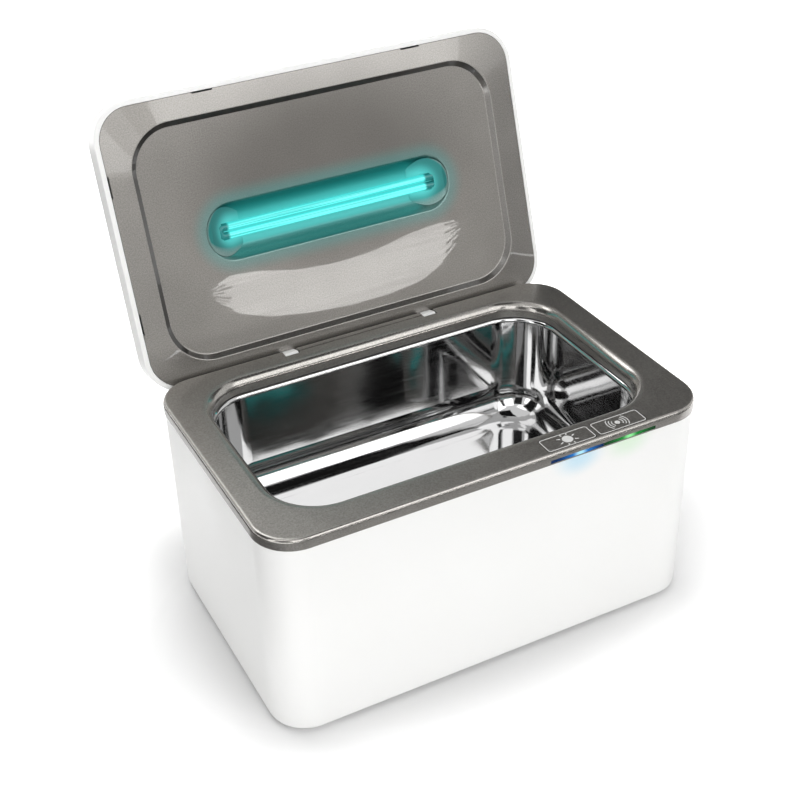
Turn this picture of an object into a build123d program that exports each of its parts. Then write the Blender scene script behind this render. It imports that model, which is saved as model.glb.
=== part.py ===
from build123d import *
from math import atan, cos, degrees, radians, sin, sqrt, tan
import os

os.makedirs("parts", exist_ok=True)

# Body, seen from above: X runs along the long side, Y to the back, Z up from the floor
body_length = 200.0
body_width = 126.6
body_corner = 17.0
deck_top = 99.8
foot_proud = 1.6            # the housing's lower edge stands this far above the floor

# Gaps and holes that several pieces share
seat_gap = 0.25             # between plastic pieces that drop into each other
slide_gap = 0.25            # round a key in its window
pin_slack = 0.05            # radial, ears on the hinge pin
thread_radius = 1.5         # housing and base screws
small_thread = 1.2          # clip and board screws
screw_clear = 0.25          # radial, shank in a through hole

# Screws
head_radius = 2.8
head_height = 1.4
small_head_radius = 2.1
small_head_height = 1.2
cross_length = 3.2
cross_width = 0.8
cross_depth = 0.8
base_screw_length = 8.0     # thread in the housing's boss
deck_screw_bite = 6.0
panel_screw_bite = 3.2
board_screw_bite = 4.0
inverter_screw_bite = 2.2

# Housing, a moulded shell open at the top and the bottom
housing_inset = 0.4
housing_wall = 2.6
housing_foot_round = 1.2
post_radius = 4.2
post_bite = 0.7             # a corner post runs this far into the wall
post_drop = 3.0             # post top below the housing's upper edge
post_floor = 4.0            # wall over the screw head in a post
base_boss_radius = 3.4
base_boss_height = 12.0
base_boss_bite = 0.2        # a boss runs this far into the wall
base_boss_x = 60.0

# Base plate, rubber feet and the slots that let warm air in
base_recess = 0.6
base_thick = 2.4
foot_radius = 6.5
foot_round = 0.5
foot_sink = 1.0
foot_margin = 19.6
vent_length = 22.0
vent_width = 2.2
vent_pitch = 5.0
vent_count = 8
vent_margin = 52.0

# Deck, the grey bezel with the tank opening
deck_band = 5.0
deck_wall = 2.2
deck_plate = 2.4
deck_edge = 1.6
deck_boss_radius = 3.2
side_margin = 16.2          # body's side to the lip's upright wall
front_margin = 16.5
rear_margin = 13.4
opening_corner = 21.5
lip_roll = 4.5
lip_wall = 3.0
lip_depth = 6.5

# Tank, drawn from stainless sheet
tank_sheet = 0.8
tank_inset = 0.8            # tank wall stands in from the deck's lip
tank_depth = 58.0           # from the deck's top to the tank's floor
tank_floor_round = 14.0
tank_rim_round = 2.0
flange_width = 5.0
gasket_thick = 0.8
gasket_step = 1.3           # gasket's inner edge out from the lip's wall

# Clips that hold the tank's flange up against the deck
clip_thick = 1.2
clip_width = 9.0
clip_bite = 2.4
clip_boss_radius = 3.0
clip_boss_gap = 0.9
clip_corner = 0.8
clip_side_spread = 50.0
clip_front_margin = 40.0    # body's left side to the first front clip
clip_front_pitch = 46.0
clip_screw_length = 6.0

# Keys in the front margin, and the light bar under them
key_length = 23.2
key_width = 9.2
key_web = 1.2               # deck left between the two keys
key_side_margin = 30.7      # body's right side to the second key's window
key_front_margin = 6.1      # body's front to the middle of the windows
key_corner = 1.6
key_cap = 1.6
key_tab = 0.45              # catch past the window's edge
key_tab_thick = 0.8
key_tab_depth = 4.6
key_stem_back = 1.3         # stem and catches behind the middle of the cap
key_rest_gap = 0.2
key_stem_length = 10.0
key_stem_width = 3.0
key_stem_drop = 1.9
key_travel = 0.5
press_gap = 0.15
bar_height = 1.6
bar_rise = 0.5              # bar's lower edge above the deck's lower edge
bar_over = 2.8              # bar past the second key
bar_split = 0.6
bar_sunk = 0.15
bar_leg = 1.2
bar_leg_gap = 0.3
bar_leg_drop = 2.0

# Control board
switch_length = 6.0
switch_width = 3.6
switch_body = 3.5
switch_button = 0.8
switch_button_radius = 0.9
panel_board_thick = 1.6
panel_board_end = 12.0      # board past the outermost key window
panel_board_depth = 7.4
panel_board_gap = 0.6       # from the housing's wall
light_length = 3.2
light_width = 1.4
light_height = 1.6
panel_boss_radius = 2.6

# Lid and its hinge
lid_opening = 108.0         # opened, the lid leans back 18 degrees
lid_gap = 0.5               # over the deck, closed
lid_height = 16.0
lid_wall = 2.2
lid_crown = 6.0
lid_rim_round = 0.6
ear_radius = 2.5
ear_width = 6.5
ear_middle = 35.0
ear_side_gap = 0.4
ear_front_gap = 0.35
ear_root = 6.0
pin_radius = 1.0
pin_depth = 3.1             # pin's axis under the deck's top
pin_seat = 1.2              # length of pin held in each side of the pocket
pocket_wall = 1.6
stop_gap = 0.35
groove_width = 0.5
groove_depth = 0.5
groove_setback = 3.7        # from the deck's rear edge

# Lid liner with its sunken pan and the lamp's recess
liner_seam = 0.2
liner_thick = 1.8
pan_side_margin = 13.1      # body's side to the pan's edge
pan_front_margin = 12.0
pan_rear_margin = 10.2
pan_corner = 20.0
pan_depth = 2.2
pan_slope = 2.3
pan_round = 0.7
recess_end_room = 5.3       # past each end of the lamp
recess_width = 25.2
recess_y = 0.4
recess_depth = 10.0         # from the liner's face to the recess's floor
recess_taper = 14.0
recess_round = 8.4
catch_length = 9.3
catch_width = 0.6
catch_front_margin = 50.3
catch_side_margin = 33.6
tongue_thick = 1.2
tongue_height = 6.0

# Lamp, a bent twin tube, and the two sloping holders that take its ends
lamp_length = 109.2
tube_radius = 1.7
tube_pitch = 3.9
lamp_level = 6.2            # tube axes above the liner's face
cap_length = 1.0
holder_gap = 0.15           # round each holder, in the recess
holder_run = 12.6           # low end of the slope, short of the lamp's end
holder_past = 2.8           # high end of the slope, past the lamp's end
holder_sunk = 0.5           # high end under the pan's floor
holder_lip = 0.6            # thickness at the low end
mouth_gap = 0.5             # round the tubes where they enter
mouth_run = 2.6             # end of the mouth, short of the lamp's end

# Lamp's inverter, inside the lid
inverter_length = 62.0
inverter_width = 24.0
inverter_y = 34.0
inverter_stand = 1.0
inverter_thick = 1.6
inverter_screw_inset = 4.0
coil_length = 16.0
coil_width = 13.0
coil_height = 5.0
coil_corner = 1.0
coil_flange = 1.0

# Sounder under the tank
bond_thick = 0.3
disc_radius = 25.0
disc_thick = 3.0
disc_rim = 2.0              # bare ceramic round the silver face
silver_thick = 0.1

# Driver board on the base plate
board_length = 110.0
board_width = 66.0
board_thick = 1.6
board_stand = 5.0
board_x = 14.0
board_y = -4.0
board_screw_inset = 5.0
stand_radius = 3.2
board_corner = 2.0
core_x = -8.0
core_y = -14.0
core_length = 30.0
core_depth = 12.0
core_height = 22.0
core_yoke = 4.0
core_leg = 8.0
core_window = 6.0
coil_gap = 0.2
coil_wall = 5.6
choke_x = 34.0
choke_y = -20.0
choke_radius = 8.0
choke_height = 12.0
choke_flange = 1.6
choke_leg = 4.0
sink_x = 10.0
sink_y = 16.0
sink_length = 52.0
sink_height = 18.0
sink_plate = 3.0
sink_fin = 1.4
sink_fin_depth = 6.0
sink_fin_count = 9
transistor_spread = 26.0
transistor_width = 10.2
transistor_thick = 4.4
transistor_height = 15.0
transistor_leg = 3.0
transistor_lead = 0.9
transistor_pitch = 2.54
can_radius = 6.3
can_height = 20.0
can_round = 0.8
can_pitch = 14.0
can_x = 58.0
can_y = 4.0
film_x = 34.0
film_y = 0.0
film_length = 18.0
film_width = 8.0
film_height = 13.0
fuse_x = -28.0
fuse_y = 14.0
fuse_length = 20.0
fuse_radius = 2.6
fuse_level = 4.6
fuse_clip_wall = 1.0
fuse_clip_length = 4.0
terminal_x = -35.0
terminal_y = -8.0
terminal_pitch = 16.0
terminal_width = 8.0
terminal_length = 11.0
terminal_height = 9.0

# Power inlet in the rear wall
inlet_margin = 38.0
inlet_z = 24.0
inlet_flange_length = 27.0
inlet_flange_height = 16.0
inlet_flange_thick = 1.2
inlet_body_length = 21.0
inlet_body_height = 12.0
inlet_body_depth = 17.0
inlet_corner = 2.5
socket_pitch = 8.0
socket_radius = 3.9
socket_waist = 5.6
socket_depth = 12.0
contact_radius = 1.2
contact_pitch = 8.6
contact_length = 9.5
contact_round = 0.5

# Worked out from the sizes above
half_length = body_length / 2
half_width = body_width / 2
opening_length = body_length - 2 * side_margin
opening_width = body_width - front_margin - rear_margin
opening_y = (front_margin - rear_margin) / 2
pan_length = body_length - 2 * pan_side_margin
pan_width = body_width - pan_front_margin - pan_rear_margin
pan_y = (pan_front_margin - pan_rear_margin) / 2
foot_x = half_length - foot_margin
foot_y = half_width - foot_margin
vent_x = half_length - vent_margin
inlet_x = inlet_margin - half_length
catch_front_x = half_length - catch_front_margin
catch_side_y = half_width - catch_side_margin
housing_top = deck_top - deck_band
housing_half_length = half_length - housing_inset
housing_half_width = half_width - housing_inset
housing_corner = body_corner - housing_inset
inner_half_length = housing_half_length - housing_wall
inner_half_width = housing_half_width - housing_wall
inner_corner = housing_corner - housing_wall
base_under = foot_proud + base_recess
base_top = base_under + base_thick
post_shift = (inner_corner - post_radius + post_bite) / sqrt(2)
post_x = inner_half_length - inner_corner + post_shift
post_y = inner_half_width - inner_corner + post_shift
post_top = housing_top - post_drop
base_boss_y = inner_half_width - base_boss_radius + base_boss_bite

deck_under = deck_top - deck_plate
lip_bottom = deck_top - lip_depth
flange_top = lip_bottom - gasket_thick
flange_under = flange_top - tank_sheet
tank_floor = deck_top - tank_depth
tank_under = tank_floor - tank_sheet
flange_grow = flange_width - tank_inset
flange_half_length = opening_length / 2 + flange_grow
flange_front = opening_y - opening_width / 2 - flange_grow
clip_reach = clip_boss_gap + clip_boss_radius
clip_front_places = [clip_front_margin - half_length + place * clip_front_pitch for place in (0, 1)]
clip_length = clip_boss_radius + clip_reach + clip_bite

key_left = half_length - key_side_margin - 2 * key_length - key_web
key_y = key_front_margin - half_width
key_tab_y = key_y + key_stem_back
bar_right = half_length - key_side_margin + bar_over
key_middles = [key_left + key_length / 2, key_left + 1.5 * key_length + key_web]
key_top = deck_top
key_cap_under = key_top - key_cap
key_tab_top = deck_under - key_rest_gap
key_catch = key_length / 2 + key_tab
key_catch_root = key_length / 2 - slide_gap - 2 * key_tab_thick
stem_end = key_cap_under - key_stem_drop
button_top = stem_end - key_travel - press_gap
board_level = button_top - switch_button - switch_body    # control board's upper face
panel_length = 2 * key_length + key_web + 2 * panel_board_end
panel_x = key_left + key_length + key_web / 2
panel_front = -inner_half_width + panel_board_gap
panel_y = panel_front + panel_board_depth / 2
bar_under = housing_top + bar_rise
bar_middle = (key_left + bar_right) / 2
bar_front = -half_width + bar_sunk
bar_back = -inner_half_width + bar_leg_gap

liner_half_length = half_length - lid_wall - liner_seam
liner_half_width = half_width - lid_wall - liner_seam
pan_taper = degrees(atan(pan_slope / pan_depth))
pan_back_taper = pan_taper / 2
pan_edge_room = 2 * pan_round
tongue_side_x = liner_half_length - catch_width - tongue_thick / 2
inverter_level = pan_depth + liner_thick + inverter_stand
lamp_end = lamp_length / 2
recess_length = lamp_length + 2 * recess_end_room
holder_foot = lamp_end - holder_run
holder_head = lamp_end + holder_past
mouth_end = lamp_end - mouth_run
bend_x = tube_pitch / 2 + tube_radius - lamp_end
tube_low = recess_y - tube_pitch / 2
tube_high = recess_y + tube_pitch / 2
holder_top = pan_depth + holder_sunk
lip_level = recess_depth - holder_lip
socket_end = lamp_end + cap_length

board_under = base_top + board_stand
board_face = board_under + board_thick
core_window_x = (core_leg + core_window) / 2
transistor_places = [
    (sink_x + side * transistor_spread / 2, sink_y - (sink_plate + transistor_thick) / 2) for side in (-1, 1)
]
can_places = [(can_x, can_y + side * can_pitch / 2) for side in (-1, 1)]
terminal_places = [(terminal_x, terminal_y + side * terminal_pitch / 2) for side in (-1, 1)]

hinge_y = half_width - ear_radius
hinge_z = deck_top - pin_depth
pin_to_lid = pin_depth + lid_gap
ear_inner = ear_middle - ear_width / 2
ear_outer = ear_middle + ear_width / 2
slot_inner = ear_inner - ear_side_gap
slot_outer = ear_outer + ear_side_gap
slot_front = hinge_y - ear_radius - ear_front_gap
pocket_floor = hinge_z - ear_radius * tan(radians(lid_opening / 2)) - stop_gap
pocket_under = pocket_floor - pocket_wall

# Directions of the opened lid: its own back, its own up, and the middle of its face
lid_back = Vector(0, cos(radians(lid_opening)), -sin(radians(lid_opening)))
lid_rise = Vector(0, sin(radians(lid_opening)), cos(radians(lid_opening)))
lid_middle = Vector(0, hinge_y, hinge_z) - lid_back * hinge_y + lid_rise * pin_to_lid
lid_face = Plane(origin=lid_middle, x_dir=(1, 0, 0), z_dir=lid_rise)
lid_up = Axis(lid_middle, lid_rise)


def lid_side(x):
    """Plane square to the lid's long side; its axes are the lid's back and up."""
    return Plane(origin=lid_middle + Vector(x, 0, 0), x_dir=lid_back, z_dir=(1, 0, 0))


def body_outline(inset):
    RectangleRounded(body_length - 2 * inset, body_width - 2 * inset, body_corner - inset)


def opening_outline(grow, mode=Mode.ADD):
    length = opening_length + 2 * grow
    width = opening_width + 2 * grow
    with Locations((0, opening_y)):
        RectangleRounded(length, width, opening_corner + grow, mode=mode)


def pan_outline(grow):
    with Locations((0, pan_y)):
        RectangleRounded(pan_length + 2 * grow, pan_width + 2 * grow, pan_corner + grow)


def recess_outline(grow):
    with Locations((0, recess_y)):
        SlotOverall(recess_length + 2 * grow, recess_width + 2 * grow)


def from_opening(spot):
    """How far a point lies outside the opening's outline, seen from above."""
    past_x = max(abs(spot.X) - opening_length / 2 + opening_corner, 0)
    past_y = max(abs(spot.Y - opening_y) - opening_width / 2 + opening_corner, 0)
    return sqrt(past_x**2 + past_y**2) - opening_corner


def opening_edges(piece, height, grow):
    """Edges at one height that follow the opening's outline."""
    found = []
    for edge in piece.edges():
        spots = [edge @ share for share in (0, 0.5, 1)]
        level = all(abs(spot.Z - height) < near for spot in spots)
        if level and all(abs(from_opening(spot) - grow) < near for spot in spots):
            found.append(edge)
    return found


def lid_edges(piece, height, length, width):
    """Edges at one height over the lid's face, inside a length and a width."""
    found = []
    for edge in piece.edges():
        spots = [lid_face.to_local_coords(edge @ share) for share in (0, 0.5, 1)]
        level = all(abs(spot.Z - height) < near for spot in spots)
        if level and all(abs(spot.X) < length / 2 and abs(spot.Y) < width / 2 for spot in spots):
            found.append(edge)
    return found


def cross_slots(places):
    """Outlines of the cross slots in screw heads."""
    with Locations(*places):
        Rectangle(cross_length, cross_width)
        Rectangle(cross_width, cross_length)


near = 0.01
right_angle = 90
sides = (-1, 1)
corners = [(sx, sy) for sx in sides for sy in sides]
post_places = [(sx * post_x, sy * post_y) for sx, sy in corners]
base_boss_places = [(sx * base_boss_x, sy * base_boss_y) for sx, sy in corners]
foot_places = [(sx * foot_x, sy * foot_y) for sx, sy in corners]
board_screw_x = board_length / 2 - board_screw_inset
board_screw_y = board_width / 2 - board_screw_inset
board_screw_places = [(board_x + sx * board_screw_x, board_y + sy * board_screw_y) for sx, sy in corners]
panel_screw_places = [(panel_x + side * (panel_length / 2 - panel_boss_radius), panel_y) for side in sides]
inverter_screw_places = [(side * (inverter_length / 2 - inverter_screw_inset), inverter_y) for side in sides]

# Each clip: its boss, and the turn that points its tongue at the tank
clip_places = [
    (sx * (flange_half_length + clip_reach), opening_y + sy * clip_side_spread / 2, right_angle * (1 + sx))
    for sx, sy in corners
]
clip_places += [(x, flange_front - clip_reach, right_angle) for x in clip_front_places]
clip_boss_places = [(x, y) for x, y, turn in clip_places]
inlet_plane = Plane(origin=(inlet_x, housing_half_width, inlet_z), x_dir=(1, 0, 0), z_dir=(0, -1, 0))


# Housing: the white shell with its corner posts and base bosses
with BuildPart() as housing:
    with BuildSketch(Plane.XY.offset(foot_proud)):
        body_outline(housing_inset)
    extrude(amount=housing_top - foot_proud)
    fillet(housing.edges().group_by(Axis.Z)[0], radius=housing_foot_round)
    with BuildSketch(Plane.XY.offset(foot_proud)):
        body_outline(housing_inset + housing_wall)
    extrude(amount=housing_top - foot_proud, mode=Mode.SUBTRACT)
    with BuildSketch(Plane.XY.offset(base_top)):
        with Locations(*post_places):
            Circle(post_radius)
    extrude(amount=post_top - base_top)
    with BuildSketch(Plane.XY.offset(base_top)):
        with Locations(*post_places):
            Circle(head_radius + screw_clear)
    extrude(amount=post_top - post_floor - base_top, mode=Mode.SUBTRACT)
    with BuildSketch(Plane.XY.offset(post_top - post_floor)):
        with Locations(*post_places):
            Circle(thread_radius + screw_clear)
    extrude(amount=post_floor, mode=Mode.SUBTRACT)
    with BuildSketch(Plane.XY.offset(base_top)):
        with Locations(*base_boss_places):
            Circle(base_boss_radius)
    extrude(amount=base_boss_height)
    with BuildSketch(Plane.XY.offset(base_top)):
        with Locations(*base_boss_places):
            Circle(thread_radius)
    extrude(amount=base_screw_length, mode=Mode.SUBTRACT)
    # the hinge pocket's floor passes through the rear wall
    with BuildSketch(Plane.XY.offset(pocket_under - seat_gap)):
        with Locations((0, housing_half_width)):
            Rectangle(2 * (slot_outer + pocket_wall + seat_gap), 4 * housing_wall)
    extrude(amount=housing_top - pocket_under + seat_gap, mode=Mode.SUBTRACT)
    # the power inlet snaps into a stepped window low in the rear wall
    with BuildSketch(inlet_plane):
        RectangleRounded(inlet_flange_length + 2 * seat_gap, inlet_flange_height + 2 * seat_gap, inlet_corner)
    extrude(amount=inlet_flange_thick, mode=Mode.SUBTRACT)
    with BuildSketch(inlet_plane):
        RectangleRounded(inlet_body_length + 2 * seat_gap, inlet_body_height + 2 * seat_gap, inlet_corner)
    extrude(amount=housing_wall, mode=Mode.SUBTRACT)
housing.part.label = "housing"
export_step(housing.part, "parts/housing.step")


# Base plate: drops into the housing's lower edge and carries the driver board
with BuildPart() as base_plate:
    with BuildSketch(Plane.XY.offset(base_under)):
        body_outline(housing_inset + housing_wall + seat_gap)
    extrude(amount=base_thick)
    with BuildSketch(Plane.XY.offset(base_under)):
        with Locations(*foot_places):
            Circle(foot_radius)
    extrude(amount=foot_sink, mode=Mode.SUBTRACT)
    with BuildSketch(Plane.XY.offset(base_under)):
        with Locations(*base_boss_places):
            Circle(thread_radius + screw_clear)
    extrude(amount=base_thick, mode=Mode.SUBTRACT)
    with BuildSketch(Plane.XY.offset(base_under)):
        with Locations(*base_boss_places):
            Circle(head_radius + screw_clear)
    extrude(amount=head_height, mode=Mode.SUBTRACT)
    with BuildSketch(Plane.XY.offset(base_under)):
        with Locations((-vent_x, 0), (vent_x, 0)):
            with GridLocations(vent_pitch, 0, vent_count, 1):
                SlotOverall(vent_length, vent_width, rotation=90)
    extrude(amount=base_thick, mode=Mode.SUBTRACT)
    with BuildSketch(Plane.XY.offset(base_top)):
        with Locations(*board_screw_places):
            Circle(stand_radius)
    extrude(amount=board_stand)
    with BuildSketch(Plane.XY.offset(base_top)):
        with Locations(*board_screw_places):
            Circle(small_thread)
    extrude(amount=board_stand, mode=Mode.SUBTRACT)
base_plate.part.label = "base_plate"
export_step(base_plate.part, "parts/base_plate.step")


# Feet: four rubber discs pressed into the base plate
with BuildPart() as feet:
    with BuildSketch(Plane.XY):
        with Locations(*foot_places):
            Circle(foot_radius)
    extrude(amount=base_under + foot_sink)
    fillet(feet.edges().group_by(Axis.Z)[0], radius=foot_round)
feet.part.label = "feet"
export_step(feet.part, "parts/feet.step")


# Base screws: up through the base plate into the housing's bosses
with BuildPart() as base_screws:
    with BuildSketch(Plane.XY.offset(base_under)):
        with Locations(*base_boss_places):
            Circle(head_radius)
    extrude(amount=head_height)
    with BuildSketch(Plane.XY.offset(base_under + head_height)):
        with Locations(*base_boss_places):
            Circle(thread_radius)
    extrude(amount=base_thick - head_height + base_screw_length)
    with BuildSketch(Plane.XY.offset(base_under)):
        cross_slots(base_boss_places)
    extrude(amount=cross_depth, mode=Mode.SUBTRACT)
base_screws.part.label = "base_screws"
export_step(base_screws.part, "parts/base_screws.step")


# Deck: the grey bezel, its rolled lip, key windows, light-bar slot and hinge pocket
with BuildPart() as deck:
    with BuildSketch(Plane.XY.offset(housing_top)):
        body_outline(0)
    extrude(amount=deck_band)
    fillet(deck.edges().group_by(Axis.Z)[-1], radius=deck_edge)
    with BuildSketch(Plane.XY.offset(housing_top)):
        body_outline(deck_wall)
    extrude(amount=deck_band - deck_plate, mode=Mode.SUBTRACT)
    with BuildSketch(Plane.XY.offset(lip_bottom)):
        opening_outline(lip_wall)
    extrude(amount=lip_depth)
    with BuildSketch(Plane.XY.offset(lip_bottom)):
        opening_outline(0)
    extrude(amount=lip_depth, mode=Mode.SUBTRACT)
    fillet(opening_edges(deck, deck_top, 0), radius=lip_roll)
    # corner bosses that meet the housing's posts
    with BuildSketch(Plane.XY.offset(post_top)):
        with Locations(*post_places):
            Circle(deck_boss_radius)
    extrude(amount=deck_under - post_top)
    with BuildSketch(Plane.XY.offset(post_top)):
        with Locations(*post_places):
            Circle(thread_radius)
    extrude(amount=deck_screw_bite, mode=Mode.SUBTRACT)
    # bosses for the tank's clips
    with BuildSketch(Plane.XY.offset(flange_under)):
        with Locations(*clip_boss_places):
            Circle(clip_boss_radius)
    extrude(amount=deck_under - flange_under)
    with BuildSketch(Plane.XY.offset(flange_under)):
        with Locations(*clip_boss_places):
            Circle(small_thread)
    extrude(amount=clip_screw_length - clip_thick, mode=Mode.SUBTRACT)
    # bosses for the control board
    with BuildSketch(Plane.XY.offset(board_level)):
        with Locations(*panel_screw_places):
            Circle(panel_boss_radius)
    extrude(amount=deck_under - board_level)
    with BuildSketch(Plane.XY.offset(board_level)):
        with Locations(*panel_screw_places):
            Circle(small_thread)
    extrude(amount=panel_screw_bite, mode=Mode.SUBTRACT)
    # key windows
    with BuildSketch(Plane.XY.offset(deck_under)):
        with Locations(*[(x, key_y) for x in key_middles]):
            RectangleRounded(key_length, key_width, key_corner)
    extrude(amount=deck_plate, mode=Mode.SUBTRACT)
    # slot for the light bar through the front band
    with BuildSketch(Plane.XY.offset(bar_under)):
        with Locations((bar_middle, -half_width + deck_wall / 2)):
            Rectangle(bar_right - key_left, 2 * deck_wall)
    extrude(amount=bar_height, mode=Mode.SUBTRACT)
    # hinge pocket: a block under the rear margin, slotted for the two ears
    with BuildSketch(Plane.XY.offset(pocket_under)):
        with Locations((0, (slot_front - pocket_wall + half_width) / 2)):
            Rectangle(2 * (slot_outer + pocket_wall), half_width - slot_front + pocket_wall)
    extrude(amount=deck_under - pocket_under)
    with BuildSketch(Plane.XY.offset(pocket_floor)):
        with Locations(*[(side * ear_middle, slot_front + half_width / 2) for side in sides]):
            Rectangle(slot_outer - slot_inner, half_width)
    extrude(amount=deck_top - pocket_floor, mode=Mode.SUBTRACT)
    with BuildSketch(Plane.XY.offset(deck_top - groove_depth)):
        with Locations((0, half_width - groove_setback)):
            Rectangle(2 * slot_inner, groove_width)
    extrude(amount=groove_depth, mode=Mode.SUBTRACT)
    with BuildSketch(Plane.YZ.offset(-slot_outer - pin_seat)):
        with Locations((hinge_y, hinge_z)):
            Circle(pin_radius)
    extrude(amount=2 * (slot_outer + pin_seat), mode=Mode.SUBTRACT)
deck.part.label = "deck"
export_step(deck.part, "parts/deck.step")


# Deck screws: up inside the posts into the deck's corner bosses
with BuildPart() as deck_screws:
    with BuildSketch(Plane.XY.offset(post_top - post_floor - head_height)):
        with Locations(*post_places):
            Circle(head_radius)
    extrude(amount=head_height)
    with BuildSketch(Plane.XY.offset(post_top - post_floor)):
        with Locations(*post_places):
            Circle(thread_radius)
    extrude(amount=post_floor + deck_screw_bite)
    with BuildSketch(Plane.XY.offset(post_top - post_floor - head_height)):
        cross_slots(post_places)
    extrude(amount=cross_depth, mode=Mode.SUBTRACT)
deck_screws.part.label = "deck_screws"
export_step(deck_screws.part, "parts/deck_screws.step")


# Tank: one drawn sheet, deep with a wide floor radius, and a flat flange under the deck's lip
with BuildPart() as tank:
    with BuildSketch(Plane.XY.offset(tank_under)):
        opening_outline(tank_sheet - tank_inset)
    extrude(amount=flange_top - tank_under)
    fillet(tank.edges().group_by(Axis.Z)[0], radius=tank_floor_round + tank_sheet)
    offset(amount=-tank_sheet, openings=tank.faces().sort_by(Axis.Z)[-1], kind=Kind.INTERSECTION)
    with BuildSketch(Plane.XY.offset(flange_under)):
        opening_outline(flange_grow)
        opening_outline(-tank_inset, mode=Mode.SUBTRACT)
    extrude(amount=tank_sheet)
    fillet(opening_edges(tank, flange_under, tank_sheet - tank_inset), radius=tank_rim_round - tank_sheet)
    fillet(opening_edges(tank, flange_top, -tank_inset), radius=tank_rim_round)
tank.part.label = "tank"
export_step(tank.part, "parts/tank.step")


# Tank gasket: silicone ring between the flange and the deck's lip
with BuildPart() as tank_gasket:
    with BuildSketch(Plane.XY.offset(flange_top)):
        opening_outline(lip_wall)
        opening_outline(gasket_step, mode=Mode.SUBTRACT)
    extrude(amount=gasket_thick)
tank_gasket.part.label = "tank_gasket"
export_step(tank_gasket.part, "parts/tank_gasket.step")


# Tank clips: steel strips screwed to the deck, holding the flange up
with BuildPart() as tank_clips:
    with BuildSketch(Plane.XY.offset(flange_under - clip_thick)):
        for x, y, turn in clip_places:
            with Locations(Location((x, y, 0), (0, 0, turn))):
                with Locations(((clip_reach + clip_bite - clip_boss_radius) / 2, 0)):
                    RectangleRounded(clip_length, clip_width, clip_corner)
        with Locations(*clip_boss_places):
            Circle(small_thread + screw_clear, mode=Mode.SUBTRACT)
    extrude(amount=clip_thick)
tank_clips.part.label = "tank_clips"
export_step(tank_clips.part, "parts/tank_clips.step")


# Clip screws
with BuildPart() as clip_screws:
    with BuildSketch(Plane.XY.offset(flange_under - clip_thick - small_head_height)):
        with Locations(*clip_boss_places):
            Circle(small_head_radius)
    extrude(amount=small_head_height)
    with BuildSketch(Plane.XY.offset(flange_under - clip_thick)):
        with Locations(*clip_boss_places):
            Circle(small_thread)
    extrude(amount=clip_screw_length)
clip_screws.part.label = "clip_screws"
export_step(clip_screws.part, "parts/clip_screws.step")


# Transducer: adhesive layer, ceramic disc and its lower silver face
with BuildPart() as piezo_bond:
    with BuildSketch(Plane.XY.offset(tank_under - bond_thick)):
        with Locations((0, opening_y)):
            Circle(disc_radius - disc_rim / 2)
    extrude(amount=bond_thick)
piezo_bond.part.label = "piezo_bond"
export_step(piezo_bond.part, "parts/piezo_bond.step")

with BuildPart() as piezo_disc:
    with BuildSketch(Plane.XY.offset(tank_under - bond_thick - disc_thick)):
        with Locations((0, opening_y)):
            Circle(disc_radius)
    extrude(amount=disc_thick)
piezo_disc.part.label = "piezo_disc"
export_step(piezo_disc.part, "parts/piezo_disc.step")

with BuildPart() as piezo_electrode:
    with BuildSketch(Plane.XY.offset(tank_under - bond_thick - disc_thick - silver_thick)):
        with Locations((0, opening_y)):
            Circle(disc_radius - disc_rim)
    extrude(amount=silver_thick)
piezo_electrode.part.label = "piezo_electrode"
export_step(piezo_electrode.part, "parts/piezo_electrode.step")


# Lamp key: cap in its window, a stem over the switch and a catch under the deck at each end
with BuildPart() as lamp_key:
    with BuildSketch(Plane.XY.offset(key_cap_under)):
        with Locations((key_middles[0], key_y)):
            RectangleRounded(key_length - 2 * slide_gap, key_width - 2 * slide_gap, key_corner - slide_gap)
    extrude(amount=key_cap)
    with BuildSketch(Plane.XY.offset(stem_end)):
        with Locations((key_middles[0], key_tab_y)):
            Rectangle(key_stem_length, key_stem_width)
    extrude(amount=key_stem_drop)
    for side in sides:
        with BuildSketch(Plane.XY.offset(key_tab_top - key_tab_thick)):
            with Locations((key_middles[0] + side * (key_catch + key_catch_root) / 2, key_tab_y)):
                Rectangle(key_catch - key_catch_root, key_tab_depth)
        extrude(amount=key_tab_thick)
        with BuildSketch(Plane.XY.offset(key_tab_top)):
            with Locations((key_middles[0] + side * (key_catch_root + key_tab_thick / 2), key_tab_y)):
                Rectangle(key_tab_thick, key_tab_depth)
        extrude(amount=key_cap_under - key_tab_top)
lamp_key.part.label = "lamp_key"
export_step(lamp_key.part, "parts/lamp_key.step")


# Cleaning key: the same moulding in the window to the right
with BuildPart() as clean_key:
    add(lamp_key.part.moved(Location((key_middles[1] - key_middles[0], 0, 0))))
clean_key.part.label = "clean_key"
export_step(clean_key.part, "parts/clean_key.step")


def bar_outline(left, right):
    """The strip of the light bar through the band, seen from above."""
    with Locations(((left + right) / 2, (bar_front + bar_back + bar_leg) / 2)):
        Rectangle(right - left, bar_back + bar_leg - bar_front)


def leg_outline(left, right):
    """The leg behind the strip that reaches down to its light."""
    with Locations(((left + right) / 2, bar_back + bar_leg / 2)):
        Rectangle(right - left, bar_leg)


# Light bar: a blue half, a green half and the dark strip between them
with BuildPart() as light_bar_blue:
    with BuildSketch(Plane.XY.offset(bar_under)):
        bar_outline(key_left, bar_middle - bar_split / 2)
    extrude(amount=bar_height)
    with BuildSketch(Plane.XY.offset(bar_under - bar_leg_drop)):
        leg_outline(key_left, bar_middle - bar_split / 2)
    extrude(amount=bar_leg_drop)
light_bar_blue.part.label = "light_bar_blue"
export_step(light_bar_blue.part, "parts/light_bar_blue.step")

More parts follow.
